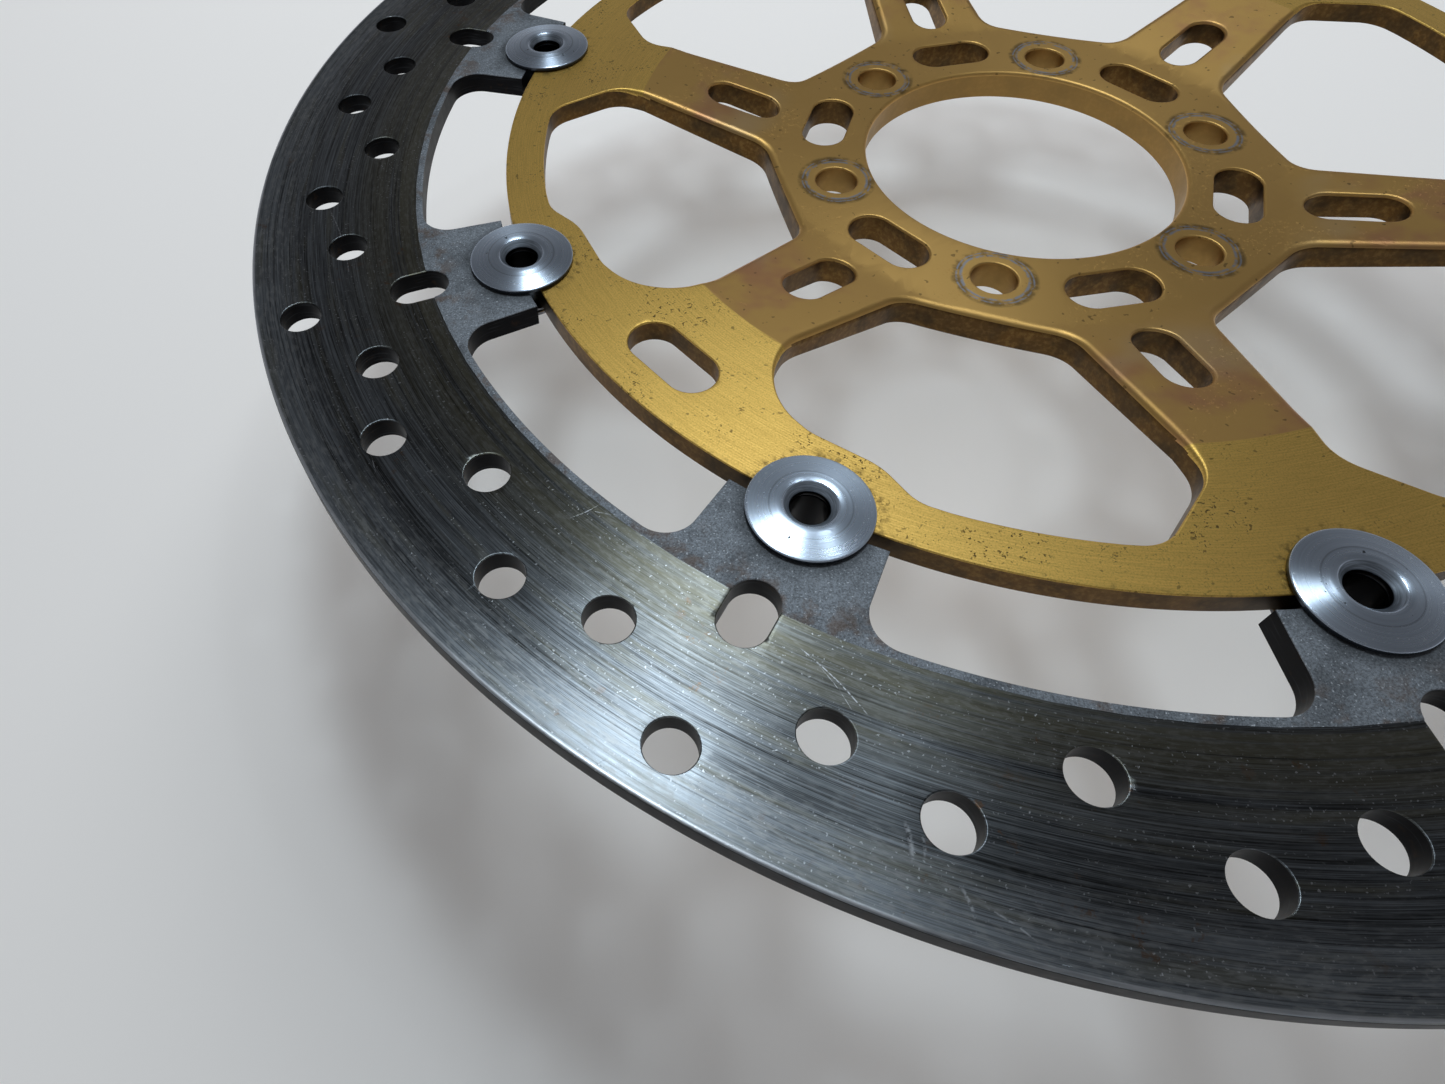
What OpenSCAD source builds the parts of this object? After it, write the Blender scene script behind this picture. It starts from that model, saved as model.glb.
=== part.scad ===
// Floating front brake disc for a motorcycle: a drilled steel rotor ring with
// nine inward tabs, an anodised aluminium carrier with six spokes, and nine
// flanged bobbins, each held from behind by a wave spring, a flat washer and a
// circlip. Units are millimetres. The origin is the bore centre on the rear
// mounting face of the hub; +Z points to the side of the bobbin flanges.

/* [Rotor] */
// Outer diameter of the rotor ring
rotor_outer_d = 320; // [280:1:340]
// Diameter of the inner edge of the rotor ring, between the tabs
rotor_inner_d = 252; // [230:1:262]
// Thickness of the rotor ring
rotor_t = 4.5; // [4:0.1:6]
// Inner diameter of the pad track
track_inner_d = 254.5; // [240:0.5:270]
// Outer diameter of the pad track
track_outer_d = 318; // [290:0.5:330]
// Depth of the pad track below the unswept steel, on each face
track_wear = 0.15; // [0:0.05:0.5]
// Chamfer on the outer rim of the ring
rim_chamfer = 0.4; // [0.1:0.1:1]
// Diameter of the round cooling holes
vent_d = 7.6; // [5:0.1:9]
// Radii of the four rows of round cooling holes, from the inside out
vent_rows = [136.2, 141.3, 146.4, 151.8];
// Angle between neighbouring cooling holes
vent_step = 6.6667; // [5:0.0001:8]
// Radius of the centre of each radial cooling slot
vent_slot_r = 129.4; // [126:0.1:134]
// Length of each radial cooling slot, end to end
vent_slot_len = 11.2; // [8:0.1:16]

/* [Tabs] */
// Radius of the inner end of each tab
tab_end_r = 110.8; // [109:0.1:113]
// Half width of a tab at its inner end
tab_end_half = 13.1; // [10:0.1:16]
// Half width of a tab where it meets its root fillets
tab_root_half = 13.9; // [11:0.1:17]
// Radius of the fillets between a tab and the ring
tab_fillet = 5.5; // [3:0.1:8]
// Radius of the half-round notch of a tab
tab_notch_r = 6.1; // [6.05:0.01:6.3]

/* [Carrier] */
// Outer diameter of the carrier ring
carrier_outer_d = 217.4; // [200:0.1:230]
// Radius of the inside of the carrier ring, between bobbins
ring_inner_r = 100.8; // [96:0.1:104]
// Thickness of the carrier ring
ring_t = 4.5; // [4:0.1:6]
// Thickness of the hub
hub_t = 6; // [5:0.1:10]
// Height of the carrier ring's rear face above the hub's rear face
ring_offset = 7; // [0:0.5:20]
// Radius of the crease where the dished spokes leave the hub
dish_inner_r = 50.5; // [45:0.5:56]
// Radius of the crease where the dished spokes meet the ring
dish_outer_r = 82; // [74:0.5:90]
// Radius of the half-round bobbin notches of the carrier
carrier_notch_r = 6.09; // [6.02:0.01:6.1]
// Distance from the centre to each flat of the six-sided hub outline
hub_flat_r = 51.5; // [46:0.1:58]
// Half width of a spoke near the ring
spoke_half = 10.3; // [8:0.1:14]
// Growth of the half width for each millimetre towards the hub
spoke_taper = 0.084; // [0:0.001:0.15]
// Fillet radius between the hub and the spokes
hub_fillet = 6; // [3:0.5:10]
// Fillet radius between the ring and a spoke that stands between two bobbins
ring_fillet = 13.5; // [6:0.5:16]
// Distance of the ring's inner edge along such a spoke, beside the fillet
ring_fillet_x = 91.4; // [89:0.1:93]
// Where the ring's inner edge turns towards the boss around a bobbin,
// along and beside the spoke
boss_start = [91.6, 26.8];
// Where the boss around a bobbin ends
boss_end = [88.2, 38.5];
// Where the inner edge is back at the narrow part of the ring
ring_start = [89.2, 46.6];
// Fillet radii of those three turns
boss_fillets = [9, 12, 7];
// The chamfer between the ring and a spoke with a bobbin at its end:
// its two corners, beside and along the spoke
gusset_outer = [22, 98.3];
// Corner of that chamfer on the spoke
gusset_inner = [9.9, 87.6];
// Fillet radius of both corners of the chamfer
gusset_fillet = 7; // [3:0.5:9]

/* [Carrier slots] */
// Radius of the centre of the tangential slots in the hub
hub_slot_r = 41.2; // [38:0.1:46]
// Length of the tangential slots in the hub
hub_slot_len = 17.6; // [12:0.1:22]
// Width of the tangential slots in the hub
hub_slot_w = 9; // [6:0.1:10]
// Radius of the centre of the radial slots in the spokes
spoke_slot_r = 60.8; // [57:0.1:66]
// Length of the radial slots in the spokes
spoke_slot_len = 16.4; // [10:0.1:20]
// Width of the radial slots in the spokes
spoke_slot_w = 8; // [5:0.1:10]
// Radius of the centre of the tangential slots in the ring
ring_slot_r = 97.4; // [94:0.1:100]
// Length of the tangential slots in the ring
ring_slot_len = 18.9; // [12:0.1:22]
// Width of the tangential slots in the ring
ring_slot_w = 9.4; // [6:0.1:11]

/* [Wheel fixing] */
// Diameter of the bore that centres the disc on the wheel hub
bore_d = 64; // [58:0.5:80]
// Chamfer at the front edge of the bore
bore_chamfer = 0.8; // [0.2:0.1:1.5]
// Diameter of the bolt circle
bolt_pcd = 80; // [76:0.5:90]
// Number of wheel bolts, which is also the number of windows
bolt_n = 6; // [6:1:6]
// Diameter of the bolt holes
bolt_hole_d = 8.5; // [8:0.1:10.5]
// Chamfer at the front edge of each bolt hole
bolt_chamfer = 0.4; // [0.1:0.1:1]

/* [Bobbins] */
// Number of bobbins
bobbin_n = 9; // [9:1:9]
// Radius of the circle on which the bobbins sit
bobbin_r = 109.3; // [105:0.1:114]
// Radius of the bobbin flange
flange_r = 9.75; // [8:0.05:11]
// Thickness of the flange at its edge
flange_edge_t = 0.8; // [0.5:0.1:2]
// Height of the raised centre of the flange above its edge
flange_rise = 0.7; // [0:0.1:1.5]
// Radius of the flat land around the hole of the bobbin
land_r = 5.2; // [4.5:0.1:7]
// Radius of the mouth of the countersink
sink_r = 4.2; // [3.2:0.1:4.8]
// Radius of the hole through the bobbin
bobbin_hole_r = 3; // [1:0.1:4]
// Radius of the barrel of the bobbin
barrel_r = 6; // [5:0.01:7]
// Clearance under the flange, which the rotor's end float uses up
flange_gap = 0.25; // [0.1:0.05:0.6]
// Height of the barrel's rear end above the hub's rear face
barrel_end_z = 2.6; // [0:0.1:5]

/* [Bobbin retainers] */
// Inner radius of the wave spring
spring_in_r = 6.3; // [6.1:0.1:7]
// Outer radius of the wave spring
spring_out_r = 8.6; // [7:0.1:10]
// Strip thickness of the wave spring
spring_t = 0.4; // [0.2:0.05:0.6]
// Number of waves around the spring
spring_waves = 3; // [2:1:5]
// Height of each wave from trough to crest
spring_wave_h = 0.7; // [0.2:0.1:1.2]
// Steps around the wave spring
spring_steps = 72; // [36:6:96]
// Radius of the flat washer
washer_r = 8.8; // [7.5:0.1:10]
// Thickness of the flat washer
washer_t = 0.8; // [0.5:0.1:1.5]
// Thickness of the circlip
clip_t = 0.9; // [0.6:0.1:1.2]
// Radius of the bottom of the circlip groove
groove_r = 5.3; // [4.8:0.1:5.7]

/* [Hidden] */
$fn = 96;
eps = 1;
rotor_z0 = ring_offset;
rotor_z1 = ring_offset + rotor_t;
ring_z1 = ring_offset + ring_t;
window_n = bolt_n;
window_pitch = 360 / window_n;
bobbin_pitch = 360 / bobbin_n;
first_bobbin = 30;
carrier_r = carrier_outer_d / 2;
flange_z0 = max(rotor_z1, ring_z1) + flange_gap;
flange_z1 = flange_z0 + flange_edge_t;
flange_z2 = flange_z1 + flange_rise;
spring_z1 = ring_offset - 0.05;
spring_z0 = spring_z1 - spring_wave_h - spring_t;
washer_z1 = spring_z0 - 0.05;
washer_z0 = washer_z1 - washer_t;
clip_z1 = washer_z0 - 0.05;
clip_z0 = clip_z1 - clip_t;
gold = [0.83, 0.68, 0.33];
steel = [0.42, 0.44, 0.46];
bright = [0.74, 0.76, 0.80];
spring_steel = [0.30, 0.31, 0.33];

// ---------------------------------------------------------------- helpers

function unit(v) = v / norm(v);
function polar(r, a) = [r * cos(a), r * sin(a)];
function angle_of(v) = atan2(v[1], v[0]);
function wrap(a) = a > 180 ? a - 360 : (a < -180 ? a + 360 : a);

// The points that round the corner at c, between the neighbours p and n.
function corner(p, c, n, r) =
    r <= 0 ? [c] :
    let (u = unit(p - c), v = unit(n - c),
         half = acos(u * v) / 2,
         centre = c + unit(u + v) * r / sin(half),
         start = angle_of(c + u * r / tan(half) - centre),
         sweep = wrap(angle_of(c + v * r / tan(half) - centre) - start),
         steps = max(2, ceil(abs(sweep) / 8)))
    [for (i = [0:steps]) centre + polar(r, start + sweep * i / steps)];

// A closed outline through [x, y, radius] corners, each one rounded.
function rounded(c) =
    let (n = len(c))
    [for (i = [0:n - 1])
        let (p = c[(i + n - 1) % n], m = c[i], q = c[(i + 1) % n])
        each corner([p[0], p[1]], [m[0], m[1]], [q[0], q[1]], m[2])];

module stadium(length, width, h) {
    linear_extrude(h) {
        square([length - width, width], center = true);
        for (s = [-1, 1]) translate([s * (length - width) / 2, 0]) circle(width / 2);
    }
}

// ---------------------------------------------------------------- carrier

// Half width of a spoke at the distance x from the centre.
function spoke_hw(x) = spoke_half + (dish_outer_r - x) * spoke_taper;

// A corner of radius r at a place p beside and along the spoke at angle 60.
function by_spoke(p, r) =
    concat(polar(p[0], window_pitch - 90) + polar(p[1], window_pitch), r);

// Where a spoke's side meets the flat of the hub.
hub_x = (hub_flat_r - spoke_hw(hub_flat_r) * sin(window_pitch / 2)) / cos(window_pitch / 2);
// The narrow part of the ring, as angles from the plain spoke.
narrow_from = 30.4;
narrow_to = 45;
narrow_step = 3.4;

// One window. It starts at a spoke that stands between two bobbins (angle 0)
// and ends at a spoke with a bobbin at its end (angle 60).
window_outline = rounded(concat(
    [[hub_x, spoke_hw(hub_x), hub_fillet],
     [ring_fillet_x, spoke_hw(ring_fillet_x), ring_fillet],
     [boss_start[0], boss_start[1], boss_fillets[0]],
     [boss_end[0], boss_end[1], boss_fillets[1]],
     [ring_start[0], ring_start[1], boss_fillets[2]]],
    [for (a = [narrow_from:narrow_step:narrow_to]) concat(polar(ring_inner_r, a), 0)],
    [by_spoke(gusset_outer, gusset_fillet),
     by_spoke(gusset_inner, gusset_fillet),
     by_spoke([spoke_hw(hub_x), hub_x], hub_fillet)]));

module carrier_body() {
    rotate_extrude()
        polygon([[bore_d / 2, 0], [dish_inner_r, 0],
                 [dish_outer_r, ring_offset], [carrier_r, ring_offset],
                 [carrier_r, ring_z1], [dish_outer_r, ring_z1],
                 [dish_inner_r, hub_t], [bore_d / 2 + bore_chamfer, hub_t],
                 [bore_d / 2, hub_t - bore_chamfer]]);
}

module bolt_hole() {
    translate([0, 0, -eps]) cylinder(h = hub_t + 2 * eps, d = bolt_hole_d);
    translate([0, 0, hub_t - bolt_chamfer])
        cylinder(h = 2 * bolt_chamfer, d1 = bolt_hole_d, d2 = bolt_hole_d + 4 * bolt_chamfer);
}

module carrier() {
    color(gold)
    difference() {
        carrier_body();
        for (k = [0:2]) rotate([0, 0, 90 + 120 * k]) {
            for (side = [0, 1]) mirror([0, side, 0])
                translate([0, 0, -eps]) linear_extrude(ring_z1 + 2 * eps) polygon(window_outline);
            translate([ring_slot_r, 0, ring_offset - eps]) rotate([0, 0, 90])
                stadium(ring_slot_len, ring_slot_w, ring_t + 2 * eps);
        }
        for (k = [0:window_n - 1]) rotate([0, 0, 30 + window_pitch * k]) {
            translate([hub_slot_r, 0, -eps]) rotate([0, 0, 90])
                stadium(hub_slot_len, hub_slot_w, hub_t + 2 * eps);
            translate([spoke_slot_r, 0, -eps])
                stadium(spoke_slot_len, spoke_slot_w, ring_z1 + 2 * eps);
        }
        for (k = [0:bolt_n - 1])
            rotate([0, 0, k * 360 / bolt_n]) translate([bolt_pcd / 2, 0, 0]) bolt_hole();
        for (i = [1:bobbin_n])
            at_bobbin(i) translate([0, 0, ring_offset - eps])
                cylinder(h = ring_t + 2 * eps, r = carrier_notch_r);
    }
}

// ---------------------------------------------------------------- rotor

rotor_ro = rotor_outer_d / 2;
rotor_ri = rotor_inner_d / 2;
// Centre of a fillet between a tab and the ring's inner edge, and its angle.
fillet_y = tab_root_half + tab_fillet;
fillet_x = sqrt(pow(rotor_ri - tab_fillet, 2) - pow(fillet_y, 2));
fillet_a = atan2(fillet_y, fillet_x);
// The tabs flare by this angle towards the ring.
tab_flare = atan((tab_root_half - tab_end_half) / (fillet_x - tab_end_r));
bay_in_r = tab_end_r - 8;

// One side of the bay between two tabs, from the tab at angle 0 up to the
// middle of the ring's inner edge.
bay_side = concat(
    [[bay_in_r, tab_end_half - (tab_end_r - bay_in_r) * tan(tab_flare)]],
    [for (i = [0:9])
        let (a = 270 + tab_flare + i * (90 - tab_flare + fillet_a) / 9)
        [fillet_x + tab_fillet * cos(a), fillet_y + tab_fillet * sin(a)]],
    [for (i = [1:5]) polar(rotor_ri, fillet_a + i * (bobbin_pitch / 2 - fillet_a) / 6)]);

// A point mirrored across the line from the centre at half the tab pitch.
function across(p) = [p[0] * cos(bobbin_pitch) + p[1] * sin(bobbin_pitch),
                      p[0] * sin(bobbin_pitch) - p[1] * cos(bobbin_pitch)];

bay_outline = concat(
    bay_side,
    [polar(rotor_ri, bobbin_pitch / 2)],
    [for (i = [len(bay_side) - 1:-1:0]) across(bay_side[i])]);

// The ring with its tabs still joined into one band.
module rotor_band() {
    rotate_extrude()
        polygon([[tab_end_r, rotor_z0], [track_inner_d / 2, rotor_z0],
                 [track_inner_d / 2, rotor_z0 + track_wear],
                 [track_outer_d / 2, rotor_z0 + track_wear],
                 [track_outer_d / 2, rotor_z0], [rotor_ro - rim_chamfer, rotor_z0],
                 [rotor_ro, rotor_z0 + rim_chamfer], [rotor_ro, rotor_z1 - rim_chamfer],
                 [rotor_ro - rim_chamfer, rotor_z1], [track_outer_d / 2, rotor_z1],
                 [track_outer_d / 2, rotor_z1 - track_wear],
                 [track_inner_d / 2, rotor_z1 - track_wear],
                 [track_inner_d / 2, rotor_z1], [tab_end_r, rotor_z1]]);
}

module vent_hole(r, a) {
    rotate([0, 0, a]) translate([r, 0, rotor_z0 - eps])
        cylinder(h = rotor_t + 2 * eps, d = vent_d, $fn = 48);
}

module brake_rotor() {
    color(steel)
    difference() {
        rotor_band();
        for (i = [1:bobbin_n]) {
            rotate([0, 0, bobbin_angle(i)]) translate([0, 0, rotor_z0 - eps])
                linear_extrude(rotor_t + 2 * eps) polygon(bay_outline);
            at_bobbin(i) translate([0, 0, rotor_z0 - eps])
                cylinder(h = rotor_t + 2 * eps, r = tab_notch_r);
            rotate([0, 0, bobbin_angle(i)]) {
                translate([vent_slot_r, 0, rotor_z0 - eps])
                    stadium(vent_slot_len, vent_d, rotor_t + 2 * eps);
                vent_hole(vent_rows[3], 0);
                for (s = [-1, 1]) {
                    vent_hole(vent_rows[1], s * vent_step);
                    vent_hole(vent_rows[2], s * 2 * vent_step);
                }
                vent_hole(vent_rows[0], bobbin_pitch / 2);
            }
        }
    }
}

// ---------------------------------------------------------------- bobbins

function bobbin_angle(i) = first_bobbin + (i - 1) * bobbin_pitch;

module at_bobbin(i) {
    rotate([0, 0, bobbin_angle(i)]) translate([bobbin_r, 0, 0]) children();
}

module bobbin(i) {
    color(bright)
    at_bobbin(i)
        rotate_extrude()
            polygon([[bobbin_hole_r, barrel_end_z], [barrel_r - 0.3, barrel_end_z],
                     [barrel_r, barrel_end_z + 0.3], [barrel_r, clip_z0 - 0.05],
                     [groove_r, clip_z0 - 0.05], [groove_r, clip_z1 + 0.05],
                     [barrel_r, clip_z1 + 0.05], [barrel_r, flange_z0],
                     [flange_r - 0.15, flange_z0], [flange_r, flange_z0 + 0.15],
                     [flange_r, flange_z1 - 0.2], [flange_r - 0.2, flange_z1],
                     [land_r, flange_z2], [sink_r, flange_z2],
                     [bobbin_hole_r, flange_z2 - (sink_r - bobbin_hole_r)]]);
}

// Height of the underside of the wave spring at the angle a.
function wave_z(a) = spring_z0 + spring_wave_h * (1 - cos(spring_waves * a)) / 2;

module wave_spring(i) {
    n = spring_steps;
    ring = [for (k = [0:n - 1]) let (a = 360 * k / n) each [
        [spring_in_r * cos(a), spring_in_r * sin(a), wave_z(a)],
        [spring_out_r * cos(a), spring_out_r * sin(a), wave_z(a)],
        [spring_out_r * cos(a), spring_out_r * sin(a), wave_z(a) + spring_t],
        [spring_in_r * cos(a), spring_in_r * sin(a), wave_z(a) + spring_t]]];
    sides = [for (k = [0:n - 1], c = [0:3])
        let (a = 4 * k, b = 4 * ((k + 1) % n), d = (c + 1) % 4)
        each [[a + c, a + d, b + d], [a + c, b + d, b + c]]];
    color(spring_steel) at_bobbin(i) polyhedron(points = ring, faces = sides);
}

module flat_washer(i) {
    color(spring_steel)
    at_bobbin(i) translate([0, 0, washer_z0])
        difference() {
            cylinder(h = washer_t, r = washer_r);
            translate([0, 0, -eps]) cylinder(h = washer_t + 2 * eps, r = spring_in_r);
        }
}

module circlip(i) {
    lug_r = 1.5;
    lug_x = groove_r + 2.1;
    color(spring_steel)
    at_bobbin(i) translate([0, 0, clip_z0])
        difference() {
            union() {
                cylinder(h = clip_t, r = groove_r + 1.9);
                for (s = [-1, 1]) rotate([0, 0, s * 17]) translate([lug_x, 0, 0])
                    cylinder(h = clip_t, r = lug_r, $fn = 32);
            }
            translate([0, 0, -eps]) cylinder(h = clip_t + 2 * eps, r = groove_r + 0.04);
            linear_extrude(3 * clip_t, center = true)
                polygon([[2, -0.35], [12, -0.9], [12, 0.9], [2, 0.35]]);
            for (s = [-1, 1]) rotate([0, 0, s * 17]) translate([lug_x + 0.1, 0, -eps])
                cylinder(h = clip_t + 2 * eps, r = 0.65, $fn = 24);
        }
}

// ---------------------------------------------------------------- assembly

carrier();
brake_rotor();
for (i = [1:bobbin_n]) {
    bobbin(i);
    wave_spring(i);
    flat_washer(i);
    circlip(i);
}
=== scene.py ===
"""Dresses a floating motorcycle brake disc: a drilled steel rotor, a gold
anodised carrier and nine turned bobbins with their springs and clips.

Sizes are in millimetres; a finished mesh is brought to metres at the end.
"""

import logging
import math
from collections.abc import Callable, Iterable
from dataclasses import dataclass, field
from enum import Enum

import bmesh
import bpy
from mathutils import Euler, Matrix, Vector


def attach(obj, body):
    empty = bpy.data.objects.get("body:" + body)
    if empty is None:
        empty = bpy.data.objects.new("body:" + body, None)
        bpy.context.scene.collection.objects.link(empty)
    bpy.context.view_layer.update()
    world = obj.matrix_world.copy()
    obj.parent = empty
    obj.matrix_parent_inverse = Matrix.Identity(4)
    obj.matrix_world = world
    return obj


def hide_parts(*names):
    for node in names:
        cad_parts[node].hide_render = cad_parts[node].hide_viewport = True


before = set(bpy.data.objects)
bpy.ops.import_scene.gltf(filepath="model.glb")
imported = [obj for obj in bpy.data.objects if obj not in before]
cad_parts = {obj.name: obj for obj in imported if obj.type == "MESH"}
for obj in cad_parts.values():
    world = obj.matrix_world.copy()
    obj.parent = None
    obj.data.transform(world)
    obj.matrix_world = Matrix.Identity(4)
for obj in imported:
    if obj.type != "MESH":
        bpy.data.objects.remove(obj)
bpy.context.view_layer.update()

log = logging.getLogger("brake_disc")

Colour = tuple[float, float, float, float]

MM = 0.001
CENTRE = Vector((0, 0))
FULL_TURN = 2 * math.pi
SECTORS = 90
SHARP_ANGLE = math.radians(38)
ACROSS_RINGS = 0.25  # In turns: reflections are stretched across the brushing.

# Longest stretches between points, the distance under which two points are one,
# the least share of a mitre, and how near an edge lies to a crease that it keeps.
NOTCH_STEP = 0.6
HOLE_STEP = 0.5
VENT_STEP = 0.45
FILLET_STEP = 0.8
BORE_STEP = 1.1
RIM_STEP = 1.3
LONG_STEP = 1.6
OUTER_STEP = 1.7
TINY = 1e-4
MITRE_LIMIT = 0.4
CREASE_REACH = 0.02

BOBBINS = 9
FIRST_BOBBIN = 30
BOBBIN_PITCH = 360 // BOBBINS
BOBBIN_ANGLES = tuple(FIRST_BOBBIN + BOBBIN_PITCH * k for k in range(BOBBINS))
BOBBIN_CIRCLE = 109.3
BOLTS = 6
BOLT_PITCH = 360 // BOLTS
BOLT_ANGLES = tuple(BOLT_PITCH * k for k in range(BOLTS))


class Slot(Enum):
    """The record's material slots."""

    GOLD = "gold_anodised"
    ROTOR = "rotor_steel"
    BOBBIN = "bobbin_steel"
    RETAINER = "retainer_steel"


class Zone(Enum):
    """Where a face of a plate lies, which is also its material's place."""

    FACE = 0
    WALL = 1
    LAND = 2


# ------------------------------------------------------------- outlines


def polar(radius: float, degrees: float) -> Vector:
    """The point at a radius and an angle about the centre."""
    angle = math.radians(degrees)
    return Vector((radius * math.cos(angle), radius * math.sin(angle)))


def turned(points: Iterable[Vector], degrees: float) -> list[Vector]:
    """The points turned about the centre."""
    turn = Matrix.Rotation(math.radians(degrees), 2)
    return [turn @ p for p in points]


def mirrored(points: list[Vector]) -> list[Vector]:
    """The points mirrored in the x axis, in reverse order."""
    return [Vector((p.x, -p.y)) for p in reversed(points)]


def arc(centre: Vector, radius: float, start: float, end: float, step: float) -> list[Vector]:
    """Points along an arc, both ends included.

    Args:
        centre: Centre of the arc.
        radius: Radius of the arc.
        start: First angle in degrees.
        end: Last angle in degrees, which may be smaller than start.
        step: Longest stretch between two points.

    Returns:
        The points in order.
    """
    count = max(2, math.ceil(abs(math.radians(end - start)) * radius / step))
    return [centre + polar(radius, start + (end - start) * i / count) for i in range(count + 1)]


def circle(centre: Vector, radius: float, step: float) -> list[Vector]:
    """Points round a full circle, anticlockwise."""
    return arc(centre, radius, 0, 360, step)[:-1]


def stadium(size: tuple[float, float, float], degrees: float, step: float) -> list[Vector]:
    """A slot with round ends, on the x axis.

    Args:
        size: Distance of its middle from the centre, length over both ends, width.
        degrees: Direction of its long axis.
        step: Longest stretch between two points on its ends.

    Returns:
        The outline, anticlockwise.
    """
    distance, length, width = size
    half = Vector(((length - width) / 2, 0))
    ends = arc(half, width / 2, -90, 90, step) + arc(-half, width / 2, 90, 270, step)
    return [Vector((distance, 0)) + p for p in turned(ends, degrees)]


def notch_mouth(rim_r: float, notch_r: float) -> tuple[float, float]:
    """Where a notch about a bobbin at angle 0 meets a rim.

    Args:
        rim_r: Radius of the rim.
        notch_r: Radius of the notch.

    Returns:
        The meeting point's angle about the centre and about the bobbin, in degrees.
    """
    cross = (rim_r**2 + BOBBIN_CIRCLE**2 - notch_r**2) / (2 * BOBBIN_CIRCLE)
    gap = math.degrees(math.acos(cross / rim_r))
    mouth = polar(rim_r, gap) - Vector((BOBBIN_CIRCLE, 0))
    return gap, math.degrees(math.atan2(mouth.y, mouth.x))


def rounded(corners: list[tuple[Vector, float]], step: float) -> list[Vector]:
    """A closed outline with its corners rounded.

    Args:
        corners: Each corner and its fillet radius; 0 keeps the corner.
        step: Longest stretch between two points on a fillet.

    Returns:
        The outline in the order of the corners.
    """
    outline: list[Vector] = []
    for i, (corner, radius) in enumerate(corners):
        if radius <= 0:
            outline.append(corner)
            continue
        back = (corners[i - 1][0] - corner).normalized()
        ahead = (corners[(i + 1) % len(corners)][0] - corner).normalized()
        half = math.acos(max(-1, min(1, back.dot(ahead)))) / 2
        centre = corner + (back + ahead).normalized() * radius / math.sin(half)
        first = corner + back * radius / math.tan(half) - centre
        last = corner + ahead * radius / math.tan(half) - centre
        start = math.degrees(math.atan2(first.y, first.x))
        sweep = (math.degrees(math.atan2(last.y, last.x)) - start + 180) % 360 - 180
        outline += arc(centre, radius, start, start + sweep, step)
    return outline


def spaced(points: list[Vector], longest: float) -> list[Vector]:
    """A closed outline whose long stretches are divided.

    Args:
        points: The outline.
        longest: Longest stretch that is left whole.

    Returns:
        The outline with points added.
    """
    result: list[Vector] = []
    for i, point in enumerate(points):
        following = points[(i + 1) % len(points)]
        gap = (following - point).length
        if gap < TINY:
            continue
        parts = max(1, math.ceil(gap / longest))
        result += [point.lerp(following, k / parts) for k in range(parts)]
    return result


@dataclass
class Edge:
    """One closed edge of a plate, with the rounding of its two rims.

    Attributes:
        points: The outline, anticlockwise.
        hole: Whether the material lies outside the outline.
        top: Rounding radius of the upper rim, which may depend on the distance
            from the centre.
        bottom: Rounding radius of the lower rim.
        steps: Steps in the upper rounding.
    """

    points: list[Vector]
    hole: bool
    top: float | Callable[[float], float]
    bottom: float = 0.25
    steps: int = 3

    def inward(self) -> list[Vector]:
        """Returns, for each point, the mitred direction into the material."""
        count = len(self.points)
        sign = -1 if self.hole else 1
        result = []
        for i, point in enumerate(self.points):
            before = (point - self.points[i - 1]).normalized()
            after = (self.points[(i + 1) % count] - point).normalized()
            left = Vector((-before.y, before.x)) + Vector((-after.y, after.x))
            left.normalize()
            across = max(MITRE_LIMIT, left.dot(Vector((-before.y, before.x))))
            result.append(left * sign / across)
        return result


# --------------------------------------------------------------- meshes


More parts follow.
